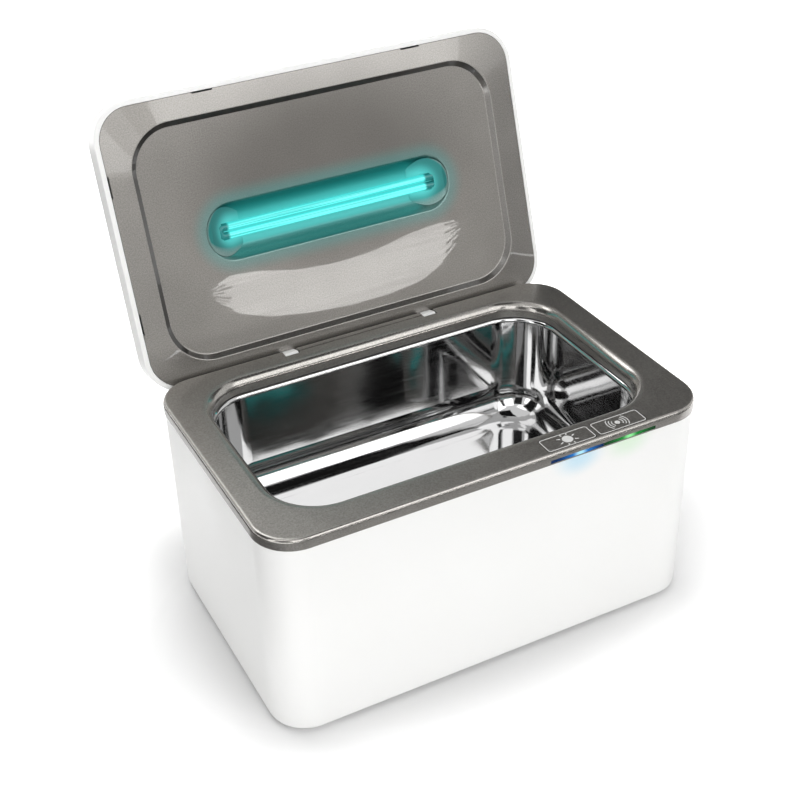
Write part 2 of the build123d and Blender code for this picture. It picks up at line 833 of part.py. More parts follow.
with BuildPart() as light_bar_green:
    with BuildSketch(Plane.XY.offset(bar_under)):
        bar_outline(bar_middle + bar_split / 2, bar_right)
    extrude(amount=bar_height)
    with BuildSketch(Plane.XY.offset(bar_under - bar_leg_drop)):
        leg_outline(bar_middle + bar_split / 2, bar_right)
    extrude(amount=bar_leg_drop)
light_bar_green.part.label = "light_bar_green"
export_step(light_bar_green.part, "parts/light_bar_green.step")

with BuildPart() as light_divider:
    with BuildSketch(Plane.XY.offset(bar_under)):
        bar_outline(bar_middle - bar_split / 2, bar_middle + bar_split / 2)
    extrude(amount=bar_height)
    with BuildSketch(Plane.XY.offset(bar_under - bar_leg_drop)):
        leg_outline(bar_middle - bar_split / 2, bar_middle + bar_split / 2)
    extrude(amount=bar_leg_drop)
light_divider.part.label = "light_divider"
export_step(light_divider.part, "parts/light_divider.step")


# Control board under the front margin, with its two switches and two lights
with BuildPart() as control_board:
    with BuildSketch(Plane.XY.offset(board_level - panel_board_thick)):
        with Locations((panel_x, panel_y)):
            Rectangle(panel_length, panel_board_depth)
        with Locations(*panel_screw_places):
            Circle(small_thread + screw_clear, mode=Mode.SUBTRACT)
    extrude(amount=panel_board_thick)
control_board.part.label = "control_board"
export_step(control_board.part, "parts/control_board.step")

with BuildPart() as panel_screws:
    with BuildSketch(Plane.XY.offset(board_level - panel_board_thick - small_head_height)):
        with Locations(*panel_screw_places):
            Circle(small_head_radius)
    extrude(amount=small_head_height)
    with BuildSketch(Plane.XY.offset(board_level - panel_board_thick)):
        with Locations(*panel_screw_places):
            Circle(small_thread)
    extrude(amount=panel_board_thick + panel_screw_bite)
panel_screws.part.label = "panel_screws"
export_step(panel_screws.part, "parts/panel_screws.step")

with BuildPart() as key_switches:
    with BuildSketch(Plane.XY.offset(board_level)):
        with Locations(*[(x, key_tab_y) for x in key_middles]):
            Rectangle(switch_length, switch_width)
    extrude(amount=switch_body)
    with BuildSketch(Plane.XY.offset(board_level + switch_body)):
        with Locations(*[(x, key_tab_y) for x in key_middles]):
            Circle(switch_button_radius)
    extrude(amount=switch_button)
key_switches.part.label = "key_switches"
export_step(key_switches.part, "parts/key_switches.step")

with BuildPart() as status_lights:
    with BuildSketch(Plane.XY.offset(board_level)):
        with Locations(*[((bar_middle + end) / 2, bar_back + bar_leg / 2) for end in (key_left, bar_right)]):
            Rectangle(light_length, light_width)
    extrude(amount=light_height)
status_lights.part.label = "status_lights"
export_step(status_lights.part, "parts/status_lights.step")


# Hinge pin: held in the pocket's sides, the lid's ears turn on it
with BuildPart() as hinge_pin:
    with BuildSketch(Plane.YZ.offset(-slot_outer - pin_seat)):
        with Locations((hinge_y, hinge_z)):
            Circle(pin_radius)
    extrude(amount=2 * (slot_outer + pin_seat))
hinge_pin.part.label = "hinge_pin"
export_step(hinge_pin.part, "parts/hinge_pin.step")


# Lid cover: the white crowned shell, with its two ears on the rear wall
with BuildPart() as lid_cover:
    with BuildSketch(lid_face):
        body_outline(0)
    extrude(amount=lid_height)
    fillet(lid_cover.edges().group_by(lid_up)[-1], radius=lid_crown)
    offset(amount=-lid_wall, openings=lid_cover.faces().sort_by(lid_up)[0])
    fillet(lid_cover.faces().sort_by(lid_up)[0].outer_wire().edges(), radius=lid_rim_round)
    for side in sides:
        ear_left = side * ear_middle - ear_width / 2
        with BuildSketch(lid_side(ear_left)):
            with Locations((hinge_y, -pin_to_lid)):
                Circle(ear_radius)
            with Locations((hinge_y, (ear_root - pin_to_lid) / 2)):
                Rectangle(2 * ear_radius, ear_root + pin_to_lid)
        extrude(amount=ear_width)
        with BuildSketch(lid_side(ear_left)):
            with Locations((hinge_y, -pin_to_lid)):
                Circle(pin_radius + pin_slack)
        extrude(amount=ear_width, mode=Mode.SUBTRACT)
lid_cover.part.label = "lid_cover"
export_step(lid_cover.part, "parts/lid_cover.step")


# Room of the lamp's recess, which the liner leaves open
with BuildPart() as recess_room:
    with BuildSketch(lid_face.offset(pan_depth)):
        recess_outline(0)
    extrude(amount=recess_depth - pan_depth, taper=recess_taper)
    fillet(lid_edges(recess_room, recess_depth, recess_length, recess_width), radius=recess_round)


# Lid liner: the grey inner lid with its sunken pan, lamp recess, snap slots and tongues
with BuildPart() as lid_liner:
    with BuildSketch(lid_face):
        body_outline(lid_wall + liner_seam)
    extrude(amount=liner_thick)
    with BuildSketch(lid_face):
        pan_outline(liner_thick)
    extrude(amount=pan_depth + liner_thick, taper=pan_back_taper)
    with BuildSketch(lid_face.offset(pan_depth)):
        recess_outline(liner_thick)
    extrude(amount=recess_depth + liner_thick - pan_depth, taper=recess_taper)
    recess_rim = lid_edges(lid_liner, recess_depth + liner_thick, recess_length, recess_width)
    fillet(recess_rim, radius=recess_round)
    with BuildSketch(lid_face):
        pan_outline(0)
    extrude(amount=pan_depth, taper=pan_taper, mode=Mode.SUBTRACT)
    add(recess_room.part, mode=Mode.SUBTRACT)
    fillet(lid_edges(lid_liner, pan_depth, pan_length, pan_width), radius=pan_round)
    fillet(lid_edges(lid_liner, 0, pan_length + pan_edge_room, pan_width + pan_edge_room), radius=pan_round)
    # slots in the edge where the tongues snap in
    with BuildSketch(lid_face):
        for sx in sides:
            with Locations((sx * catch_front_x, catch_width / 2 - liner_half_width)):
                Rectangle(catch_length, catch_width)
            for sy in sides:
                with Locations((sx * (liner_half_length - catch_width / 2), sy * catch_side_y)):
                    Rectangle(catch_width, catch_length)
    extrude(amount=liner_thick, mode=Mode.SUBTRACT)
    with BuildSketch(lid_face):
        for sx in sides:
            with Locations((sx * catch_front_x, catch_width + tongue_thick / 2 - liner_half_width)):
                Rectangle(catch_length, tongue_thick)
            for sy in sides:
                with Locations((sx * tongue_side_x, sy * catch_side_y)):
                    Rectangle(tongue_thick, catch_length)
    extrude(amount=tongue_height)
    # notches that the lid's ears pass through
    with BuildSketch(lid_face):
        with Locations(*[(side * ear_middle, liner_half_width) for side in sides]):
            Rectangle(ear_width + 2 * seat_gap, 2 * (liner_half_width - hinge_y + ear_radius + seat_gap))
    extrude(amount=liner_thick, mode=Mode.SUBTRACT)
    # two bosses for the inverter board
    with BuildSketch(lid_face.offset(pan_depth)):
        with Locations(*inverter_screw_places):
            Circle(panel_boss_radius)
    extrude(amount=liner_thick + inverter_stand)
    with BuildSketch(lid_face.offset(inverter_level - inverter_screw_bite)):
        with Locations(*inverter_screw_places):
            Circle(small_thread)
    extrude(amount=inverter_screw_bite, mode=Mode.SUBTRACT)
lid_liner.part.label = "lid_liner"
export_step(lid_liner.part, "parts/lid_liner.step")


# Lamp: two thin glass tubes side by side, joined by a bend at the left
with BuildPart() as uv_lamp:
    with BuildLine(lid_face.offset(lamp_level)) as lamp_path:
        Line((lamp_end, tube_low), (bend_x, tube_low))
        ThreePointArc((bend_x, tube_low), (bend_x - tube_pitch / 2, recess_y), (bend_x, tube_high))
        Line((bend_x, tube_high), (lamp_end, tube_high))
    with BuildSketch(Plane(origin=lamp_path.line @ 0, z_dir=lamp_path.line % 0)):
        Circle(tube_radius)
    sweep()
uv_lamp.part.label = "uv_lamp"
export_step(uv_lamp.part, "parts/uv_lamp.step")


# Lamp caps: the metal ends of the two tubes, inside the right holder
with BuildPart() as lamp_caps:
    with BuildSketch(lid_side(lamp_end)):
        with Locations((tube_low, lamp_level), (tube_high, lamp_level)):
            Circle(tube_radius)
    extrude(amount=cap_length)
lamp_caps.part.label = "lamp_caps"
export_step(lamp_caps.part, "parts/lamp_caps.step")


# Lamp holders: two end pieces that fill the recess's ends and slope down to its floor
with BuildPart() as lamp_holders:
    with BuildSketch(lid_face.offset(pan_depth)):
        recess_outline(-holder_gap)
    extrude(amount=recess_depth - pan_depth, taper=recess_taper)
    fillet(lid_edges(lamp_holders, recess_depth, recess_length, recess_width), radius=recess_round)
    # room between the two slopes
    with BuildSketch(Plane(origin=lid_middle, x_dir=(1, 0, 0), z_dir=-lid_back)):
        with BuildLine():
            Polyline(
                (-recess_length, 0),
                (-recess_length, holder_top),
                (-holder_head, holder_top),
                (-holder_foot, lip_level),
                (-holder_foot, recess_depth + liner_thick),
                (holder_foot, recess_depth + liner_thick),
                (holder_foot, lip_level),
                (holder_head, holder_top),
                (recess_length, holder_top),
                (recess_length, 0),
                close=True,
            )
        make_face()
    extrude(amount=recess_width, both=True, mode=Mode.SUBTRACT)
    # sockets for the tubes, with a wider mouth in the slope
    for reach, gap in ((socket_end, 0), (mouth_end, mouth_gap)):
        with BuildSketch(lid_side(-reach)):
            with Locations((recess_y, lamp_level)):
                SlotOverall(tube_pitch + 2 * (tube_radius + gap), 2 * (tube_radius + gap))
        extrude(amount=2 * reach, mode=Mode.SUBTRACT)
lamp_holders.part.label = "lamp_holders"
export_step(lamp_holders.part, "parts/lamp_holders.step")


# Inverter: the board in the lid that drives the lamp
with BuildPart() as inverter_board:
    with BuildSketch(lid_face.offset(inverter_level)):
        with Locations((0, inverter_y)):
            Rectangle(inverter_length, inverter_width)
        with Locations(*inverter_screw_places):
            Circle(small_thread + screw_clear, mode=Mode.SUBTRACT)
    extrude(amount=inverter_thick)
inverter_board.part.label = "inverter_board"
export_step(inverter_board.part, "parts/inverter_board.step")

with BuildPart() as inverter_coil:
    with BuildSketch(lid_face.offset(inverter_level + inverter_thick)):
        with Locations((0, inverter_y)):
            RectangleRounded(coil_length, coil_width, coil_corner)
    extrude(amount=coil_height)
    with BuildSketch(lid_side(-coil_length / 2 + coil_flange)):
        with Locations((inverter_y, inverter_level + inverter_thick + coil_height / 2)):
            Rectangle(coil_width, coil_height)
            Rectangle(coil_width - 2 * coil_flange, coil_height - 2 * coil_flange, mode=Mode.SUBTRACT)
    extrude(amount=coil_length / 2 - 2 * coil_flange, mode=Mode.SUBTRACT)
inverter_coil.part.label = "inverter_coil"
export_step(inverter_coil.part, "parts/inverter_coil.step")

with BuildPart() as inverter_screws:
    with BuildSketch(lid_face.offset(inverter_level + inverter_thick)):
        with Locations(*inverter_screw_places):
            Circle(small_head_radius)
    extrude(amount=small_head_height)
    with BuildSketch(lid_face.offset(inverter_level - inverter_screw_bite)):
        with Locations(*inverter_screw_places):
            Circle(small_thread)
    extrude(amount=inverter_screw_bite + inverter_thick)
inverter_screws.part.label = "inverter_screws"
export_step(inverter_screws.part, "parts/inverter_screws.step")


# Driver board on the base plate's stands
with BuildPart() as driver_board:
    with BuildSketch(Plane.XY.offset(board_under)):
        with Locations((board_x, board_y)):
            RectangleRounded(board_length, board_width, board_corner)
        with Locations(*board_screw_places):
            Circle(small_thread + screw_clear, mode=Mode.SUBTRACT)
    extrude(amount=board_thick)
driver_board.part.label = "driver_board"
export_step(driver_board.part, "parts/driver_board.step")

with BuildPart() as board_screws:
    with BuildSketch(Plane.XY.offset(board_face)):
        with Locations(*board_screw_places):
            Circle(small_head_radius)
    extrude(amount=small_head_height)
    with BuildSketch(Plane.XY.offset(board_under - board_screw_bite)):
        with Locations(*board_screw_places):
            Circle(small_thread)
    extrude(amount=board_screw_bite + board_thick)
board_screws.part.label = "board_screws"
export_step(board_screws.part, "parts/board_screws.step")


# Transformer: a ferrite frame round one coil
with BuildPart() as transformer_core:
    with BuildSketch(Plane.XZ.offset(-core_y - core_depth / 2)):
        with Locations((core_x, board_face + core_height / 2)):
            Rectangle(core_length, core_height)
            with Locations((-core_window_x, 0), (core_window_x, 0)):
                Rectangle(core_window, core_height - 2 * core_yoke, mode=Mode.SUBTRACT)
    extrude(amount=core_depth)
transformer_core.part.label = "transformer_core"
export_step(transformer_core.part, "parts/transformer_core.step")

with BuildPart() as transformer_coil:
    with BuildSketch(Plane.XY.offset(board_face + core_yoke + coil_gap)):
        with Locations((core_x, core_y)):
            RectangleRounded(core_leg + 2 * coil_wall, core_depth + 2 * coil_wall, coil_corner)
            Rectangle(core_leg + 2 * coil_gap, core_depth + 2 * coil_gap, mode=Mode.SUBTRACT)
    extrude(amount=core_height - 2 * core_yoke - 2 * coil_gap)
transformer_coil.part.label = "transformer_coil"
export_step(transformer_coil.part, "parts/transformer_coil.step")


# Output choke: a ferrite spool and its winding
with BuildPart() as choke_core:
    with BuildSketch(Plane.XY.offset(board_face)):
        with Locations((choke_x, choke_y)):
            Circle(choke_radius)
    extrude(amount=choke_height)
    with BuildSketch(Plane.XY.offset(board_face + choke_flange)):
        with Locations((choke_x, choke_y)):
            Circle(choke_radius)
            Circle(choke_leg, mode=Mode.SUBTRACT)
    extrude(amount=choke_height - 2 * choke_flange, mode=Mode.SUBTRACT)
choke_core.part.label = "choke_core"
export_step(choke_core.part, "parts/choke_core.step")

with BuildPart() as choke_coil:
    with BuildSketch(Plane.XY.offset(board_face + choke_flange)):
        with Locations((choke_x, choke_y)):
            Circle(choke_radius - choke_flange / 2)
            Circle(choke_leg, mode=Mode.SUBTRACT)
    extrude(amount=choke_height - 2 * choke_flange)
choke_coil.part.label = "choke_coil"
export_step(choke_coil.part, "parts/choke_coil.step")


# Heat sink with upright fins, and the two power transistors on its back
with BuildPart() as heat_sink:
    with BuildSketch(Plane.XY.offset(board_face)):
        with Locations((sink_x, sink_y)):
            Rectangle(sink_length, sink_plate)
        with Locations((sink_x, sink_y + (sink_plate + sink_fin_depth) / 2)):
            with GridLocations((sink_length - sink_fin) / (sink_fin_count - 1), 1, sink_fin_count, 1):
                Rectangle(sink_fin, sink_fin_depth)
    extrude(amount=sink_height)
heat_sink.part.label = "heat_sink"
export_step(heat_sink.part, "parts/heat_sink.step")

with BuildPart() as power_transistors:
    with BuildSketch(Plane.XY.offset(board_face + transistor_leg)):
        with Locations(*transistor_places):
            Rectangle(transistor_width, transistor_thick)
    extrude(amount=transistor_height)
    with BuildSketch(Plane.XY.offset(board_face)):
        with Locations(*transistor_places):
            with GridLocations(transistor_pitch, 1, 3, 1):
                Rectangle(transistor_lead, transistor_lead)
    extrude(amount=transistor_leg)
power_transistors.part.label = "power_transistors"
export_step(power_transistors.part, "parts/power_transistors.step")


# Smoothing capacitors, film capacitor, fuse with its clips, and the screw terminals
with BuildPart() as smoothing_capacitors:
    with BuildSketch(Plane.XY.offset(board_face)):
        with Locations(*can_places):
            Circle(can_radius)
    extrude(amount=can_height)
    fillet(smoothing_capacitors.edges().group_by(Axis.Z)[-1], radius=can_round)
smoothing_capacitors.part.label = "smoothing_capacitors"
export_step(smoothing_capacitors.part, "parts/smoothing_capacitors.step")

with BuildPart() as film_capacitor:
    with BuildSketch(Plane.XY.offset(board_face)):
        with Locations((film_x, film_y)):
            RectangleRounded(film_length, film_width, can_round)
    extrude(amount=film_height)
film_capacitor.part.label = "film_capacitor"
export_step(film_capacitor.part, "parts/film_capacitor.step")

with BuildPart() as fuse_clips:
    with BuildSketch(Plane.YZ.offset(fuse_x - fuse_length / 2)):
        with Locations((fuse_y, board_face + fuse_level / 2)):
            Rectangle(2 * fuse_radius + 2 * fuse_clip_wall, fuse_level)
        with Locations((fuse_y, board_face + fuse_level)):
            Circle(fuse_radius, mode=Mode.SUBTRACT)
    extrude(amount=fuse_clip_length)
    with BuildSketch(Plane.YZ.offset(fuse_x + fuse_length / 2 - fuse_clip_length)):
        with Locations((fuse_y, board_face + fuse_level / 2)):
            Rectangle(2 * fuse_radius + 2 * fuse_clip_wall, fuse_level)
        with Locations((fuse_y, board_face + fuse_level)):
            Circle(fuse_radius, mode=Mode.SUBTRACT)
    extrude(amount=fuse_clip_length)
fuse_clips.part.label = "fuse_clips"
export_step(fuse_clips.part, "parts/fuse_clips.step")

with BuildPart() as fuse:
    with BuildSketch(Plane.YZ.offset(fuse_x - fuse_length / 2)):
        with Locations((fuse_y, board_face + fuse_level)):
            Circle(fuse_radius)
    extrude(amount=fuse_length)
fuse.part.label = "fuse"
export_step(fuse.part, "parts/fuse.step")

with BuildPart() as board_terminals:
    with BuildSketch(Plane.XY.offset(board_face)):
        with Locations(*terminal_places):
            Rectangle(terminal_width, terminal_length)
    extrude(amount=terminal_height)
board_terminals.part.label = "board_terminals"
export_step(board_terminals.part, "parts/board_terminals.step")


# Power inlet: a moulded block in the rear wall with a double round socket
with BuildPart() as power_inlet:
    with BuildSketch(inlet_plane):
        RectangleRounded(inlet_flange_length, inlet_flange_height, inlet_corner)
    extrude(amount=inlet_flange_thick)
    with BuildSketch(inlet_plane):
        RectangleRounded(inlet_body_length, inlet_body_height, inlet_corner)
    extrude(amount=inlet_body_depth)
    with BuildSketch(inlet_plane):
        with Locations((-socket_pitch / 2, 0), (socket_pitch / 2, 0)):
            Circle(socket_radius)
        Rectangle(socket_pitch, socket_waist)
    extrude(amount=socket_depth, mode=Mode.SUBTRACT)
power_inlet.part.label = "power_inlet"
export_step(power_inlet.part, "parts/power_inlet.step")

with BuildPart() as inlet_contacts:
    with BuildSketch(inlet_plane.offset(socket_depth - contact_length)):
        with Locations((-contact_pitch / 2, 0), (contact_pitch / 2, 0)):
            Circle(contact_radius)
    extrude(amount=contact_length)
    fillet(inlet_contacts.edges().group_by(Axis.Y)[-1], radius=contact_round)
inlet_contacts.part.label = "inlet_contacts"
export_step(inlet_contacts.part, "parts/inlet_contacts.step")
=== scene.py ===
from math import cos, radians, sin, tan

import bmesh
import bpy
from mathutils import Matrix, Vector


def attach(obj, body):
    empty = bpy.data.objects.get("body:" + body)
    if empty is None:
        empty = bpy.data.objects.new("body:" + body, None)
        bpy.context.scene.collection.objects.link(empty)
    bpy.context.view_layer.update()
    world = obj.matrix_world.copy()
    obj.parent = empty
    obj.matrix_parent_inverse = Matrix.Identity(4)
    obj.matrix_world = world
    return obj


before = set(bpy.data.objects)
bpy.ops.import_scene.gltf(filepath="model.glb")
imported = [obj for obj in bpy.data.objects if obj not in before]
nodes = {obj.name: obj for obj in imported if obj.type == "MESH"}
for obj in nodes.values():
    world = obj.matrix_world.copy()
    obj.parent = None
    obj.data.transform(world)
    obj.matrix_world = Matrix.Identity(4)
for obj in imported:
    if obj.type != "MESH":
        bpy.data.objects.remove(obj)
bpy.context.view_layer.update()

mm = 0.001    # the scene is in metres, and sizes below are in millimetres unless a note says otherwise
noiseSpan = (0.3, 0.7)    # nearly all values of a noise lie in it
print("frame loaded:", len(nodes), "pieces")


def hexToLinear(code):
    # a colour as it is seen, such as "8A8783", turned into the linear values that shaders use
    channels = [int(code[i:i + 2], 16) / 255 for i in (0, 2, 4)]
    return tuple(c / 12.92 if c <= 0.04045 else ((c + 0.055) / 1.055) ** 2.4 for c in channels) + (1.0,)


def addNode(tree, kind, inputs=None, **settings):
    # inputs gives each socket a node, another socket or a plain value; settings are the node's own choices
    node = tree.nodes.new("ShaderNode" + kind)
    for name, choice in settings.items():
        setattr(node, name, choice)
    for name, source in (inputs or {}).items():
        if isinstance(source, bpy.types.Node):
            source = source.outputs[0]
        if isinstance(source, bpy.types.NodeSocket):
            tree.links.new(source, node.inputs[name])
        else:
            node.inputs[name].default_value = source
    return node


def newMaterial(name):
    material = bpy.data.materials.new(name)
    material.use_nodes = True
    material.node_tree.nodes.clear()
    return material, material.node_tree


def paint(pieces, material):
    for piece in pieces:
        slots = nodes[piece].data.materials
        slots.clear()
        slots.append(material)


def grainScale(sizeMm):
    # noise scale whose spots are about this wide
    return 1.0 / (sizeMm * mm)


def distanceOf(tree, x, y, z=0.0):
    # length of a vector given by its three parts
    joined = addNode(tree, "CombineXYZ", {"X": x, "Y": y, "Z": z})
    return addNode(tree, "VectorMath", {0: joined}, operation="LENGTH").outputs["Value"]


cameraView = {
    "place": (-230.41, -427.28, 414.80), "right": (0.89568, -0.44270, -0.04212), "up": (0.27609, 0.47934, 0.83307),
    "lens": 61.55, "sensor": 36.0, "shiftX": 0.0587, "shiftY": 0.0105, "nearest": 10.0,
}

cameraData = bpy.data.cameras.new("camera")
cameraData.lens = cameraView["lens"]
cameraData.sensor_width = cameraView["sensor"]
cameraData.shift_x, cameraData.shift_y = cameraView["shiftX"], cameraView["shiftY"]
cameraData.clip_start = cameraView["nearest"] * mm
camera = bpy.data.objects.new("camera", cameraData)
bpy.context.scene.collection.objects.link(camera)
viewRight, viewUp = Vector(cameraView["right"]).normalized(), Vector(cameraView["up"]).normalized()
viewTurn = Matrix((viewRight, viewUp, viewRight.cross(viewUp))).transposed().to_4x4()
camera.matrix_world = Matrix.Translation(Vector(cameraView["place"]) * mm) @ viewTurn
bpy.context.scene.camera = camera
print("camera placed")


# the opened lid's own directions, for patterns that lie on it: its opening in degrees, its pin, and the gap
# between the pin and the lid's face
lidFrame = {"opening": 108.0, "hingeY": 60.8, "hingeZ": 96.7, "faceGap": 3.6}

lidAngle = radians(lidFrame["opening"])
lidBack = Vector((0, cos(lidAngle), -sin(lidAngle)))
lidRise = Vector((0, sin(lidAngle), cos(lidAngle)))
hingeMiddle = Vector((0, lidFrame["hingeY"], lidFrame["hingeZ"])) * mm
lidMiddle = hingeMiddle - lidBack * lidFrame["hingeY"] * mm + lidRise * lidFrame["faceGap"] * mm


def lidCoordinates(tree):
    # coordinates turned so that x runs along the lid, y to its hinge and z up from its face
    coordinates = addNode(tree, "TexCoord")
    shift = -(Matrix.Rotation(lidAngle, 3, "X") @ lidMiddle)
    return addNode(tree, "Mapping", {
        "Vector": coordinates.outputs["Object"], "Rotation": (lidAngle, 0, 0), "Location": tuple(shift),
    }, vector_type="POINT")


def softSpot(tree, place, reachMm, stretch):
    # 1 at a place, falling smoothly to 0 at its reach; a stretch below 1 makes the spot longer that way
    coordinates = addNode(tree, "TexCoord")
    offset = addNode(tree, "VectorMath", {
        0: coordinates.outputs["Object"], 1: tuple(c * mm for c in place),
    }, operation="SUBTRACT")
    scaled = addNode(tree, "VectorMath", {0: offset, 1: stretch}, operation="MULTIPLY")
    distance = addNode(tree, "VectorMath", {0: scaled}, operation="LENGTH")
    return addNode(tree, "MapRange", {
        "Value": distance.outputs["Value"], "From Min": 0.0, "From Max": reachMm * mm,
        "To Min": 1.0, "To Max": 0.0,
    }, interpolation_type="SMOOTHERSTEP")


whiteShell = {
    "colour": "F9F9F8", "cloudColour": "F7F7F5", "cloudMm": 45.0, "roughness": (0.30, 0.39), "ior": 1.54,
    "peelMm": 1.2, "peelBumpMm": 0.004,
    "paintedBarGlows": (    # painted light: the light bar's shine, mixed into the shell's colour below it
        {"place": (35.7, -63.0, 94.0), "reachMm": 12.0, "stretch": (0.75, 1, 1), "tint": "8FD8F6", "share": 0.5},
        {"place": (59.5, -63.0, 94.0), "reachMm": 12.0, "stretch": (0.75, 1, 1), "tint": "BFF0BC", "share": 0.42},
    ),
}


def polishedAbs(name, look):
    # ABS moulded in a polished tool: even white, softly shining, with a trace of orange peel
    material, tree = newMaterial(name)
    coordinates = addNode(tree, "TexCoord")
    peel = addNode(tree, "TexNoise", {
        "Vector": coordinates.outputs["Object"], "Scale": grainScale(look["peelMm"]),
        "Detail": 2.0, "Roughness": 0.5,
    })
    clouds = addNode(tree, "TexNoise", {
        "Vector": coordinates.outputs["Object"], "Scale": grainScale(look["cloudMm"]), "Detail": 3.0,
    })
    sheen = addNode(tree, "MapRange", {
        "Value": clouds, "From Min": noiseSpan[0], "From Max": noiseSpan[1],
        "To Min": look["roughness"][0], "To Max": look["roughness"][1],
    })
    colour = addNode(tree, "Mix", {
        0: clouds, 6: hexToLinear(look["colour"]), 7: hexToLinear(look["cloudColour"]),
    }, data_type="RGBA").outputs[2]
    # painted light: the light bar's shine is mixed into the colour as soft tinted spots
    for glow in look["paintedBarGlows"]:
        spread = softSpot(tree, glow["place"], glow["reachMm"], glow["stretch"])
        weight = addNode(tree, "Math", {0: spread, 1: glow["share"]}, operation="MULTIPLY")
        colour = addNode(tree, "Mix", {
            0: weight, 6: colour, 7: hexToLinear(glow["tint"]),
        }, data_type="RGBA").outputs[2]
    relief = addNode(tree, "Bump", {"Strength": 0.35, "Distance": look["peelBumpMm"] * mm, "Height": peel})
    shader = addNode(tree, "BsdfPrincipled", {
        "Base Color": colour, "Roughness": sheen, "IOR": look["ior"], "Normal": relief,
    })
    addNode(tree, "OutputMaterial", {"Surface": shader})
    return material


paint(["housing"], polishedAbs("polishedAbsShell", whiteShell))
paint(["lid_cover"], polishedAbs("polishedAbsLid", dict(whiteShell, paintedBarGlows=())))
print("white shell done")


greyPaint = {
    "light": "ACA9A4", "dark": "8B8884", "flakeMm": 0.55, "flakeBumpMm": 0.02,
    "cloudMm": 30.0, "cloudShare": 0.25, "blendSpan": (0.40, 0.85),
    "metallic": 0.85, "roughness": (0.31, 0.42), "coat": 0.4, "coatRoughness": 0.08,
    # slopes are the upward part of a normal
    "edgeRoughness": 0.18, "edgeSlope": 0.55, "edgeSpan": (0.43, 0.28),
}


def flakePaint(tree, look, place):
    # metal flakes in grey lacquer: a dark and light speckle. Real flakes are a tenth as wide, and drawn so
    # none would show, so these are about a pixel wide
    flakes = addNode(tree, "TexNoise", {
        "Vector": place, "Scale": grainScale(look["flakeMm"]), "Detail": 2.0, "Roughness": 0.6,
    })
    clouds = addNode(tree, "TexNoise", {"Vector": place, "Scale": grainScale(look["cloudMm"]), "Detail": 2.0})
    blend = addNode(tree, "Math", {0: clouds, 1: look["cloudShare"], 2: flakes}, operation="MULTIPLY_ADD")
    share = addNode(tree, "MapRange", {
        "Value": blend, "From Min": look["blendSpan"][0], "From Max": look["blendSpan"][1],
    })
    colour = addNode(tree, "Mix", {
        0: share, 6: hexToLinear(look["dark"]), 7: hexToLinear(look["light"]),
    }, data_type="RGBA")
    rough = addNode(tree, "MapRange", {
        "Value": flakes, "From Min": noiseSpan[0], "From Max": noiseSpan[1],
        "To Min": look["roughness"][0], "To Max": look["roughness"][1],
    })
    relief = addNode(tree, "Bump", {"Strength": 0.3, "Distance": look["flakeBumpMm"] * mm, "Height": flakes})
    return colour.outputs[2], rough, relief


def greyLacquer(name, look):
    # ABS sprayed with metal-flake lacquer: a satin grey that gleams, with a soft second shine from its clear coat
    material, tree = newMaterial(name)
    coordinates = addNode(tree, "TexCoord")
    colour, rough, relief = flakePaint(tree, look, coordinates.outputs["Object"])
    # lacquer draws thin and slick over rounded edges, so their highlights are narrow
    surface = addNode(tree, "NewGeometry")
    slope = addNode(tree, "SeparateXYZ", {0: surface.outputs["Normal"]})
    offEdge = addNode(tree, "Math", {0: slope.outputs["Z"], 1: look["edgeSlope"]}, operation="SUBTRACT")
    edgeDistance = addNode(tree, "Math", {0: offEdge}, operation="ABSOLUTE")
    onEdge = addNode(tree, "MapRange", {
        "Value": edgeDistance, "From Min": look["edgeSpan"][0], "From Max": look["edgeSpan"][1],
    }, interpolation_type="SMOOTHSTEP")
    slick = addNode(tree, "Mix", {0: onEdge, 2: rough, 3: look["edgeRoughness"]}, data_type="FLOAT")
    shader = addNode(tree, "BsdfPrincipled", {
        "Base Color": colour, "Metallic": look["metallic"], "Roughness": slick, "Normal": relief,
        "Coat Weight": look["coat"], "Coat Roughness": look["coatRoughness"],
    })
    addNode(tree, "OutputMaterial", {"Surface": shader})
    return material


paint(["deck"], greyLacquer("sprayedFlakeLacquerDeck", greyPaint))
paint(["lamp_key", "clean_key"], greyLacquer("sprayedFlakeLacquerKeys", greyPaint))
print("grey lacquer done")


# places on the liner are in the lid's own coordinates, and the recess for the lamp is called the slot
lidLiner = {
    "paint": dict(
        greyPaint, light="9F9C97", dark="7F7C78", roughness=(0.29, 0.40),
        coat=1.0, coatRoughness=0.014, slotCoat=0.12,
    ),
    # tone: a painted dark reflection in the middle of the pan
    "tone": {"colour": "55524E", "share": 0.64, "middleY": -18.0, "nearMm": 14.0, "farMm": 60.0, "lengthen": 0.62},
    # step: the pan's outline, the painted shade on its steep faces and the crown of the rim round it
    "step": {
        "halfX": 86.9, "frontY": -51.3, "rearY": 53.1, "corner": 21.0, "margin": 1.0, "slotGap": 4.0,
        "colour": "1A1816", "share": 0.92, "steep": (0.80, 0.95), "turnSpan": (-0.05, 0.10), "softness": 0.14,
        "crown": 8.0,    # degrees
    },
    # slot: the recess, with the lamp's turquoise light painted in and round it
    "slot": {
        "half": 47.3, "radius": 12.6, "y": 0.4, "lipSpan": (2.0, 11.0), "lipStretch": 9.0,
        "paintedLampLight": "1A7775", "washShare": 0.9, "washInset": 0.3, "washEdge": 1.0,
        "paintedHalo": "3FA9A6", "haloShare": 0.36, "haloSpan": (-1.0, 9.0),
    },
    # lamp: the glow painted on the liner's walls near the tubes
    "lamp": {
        "bright": "5FE0DC", "power": 0.62, "fallOff": 1.6, "half": 47.0, "depth": 6.2,
        "nearMm": 2.5, "farMm": 12.5,
    },
}


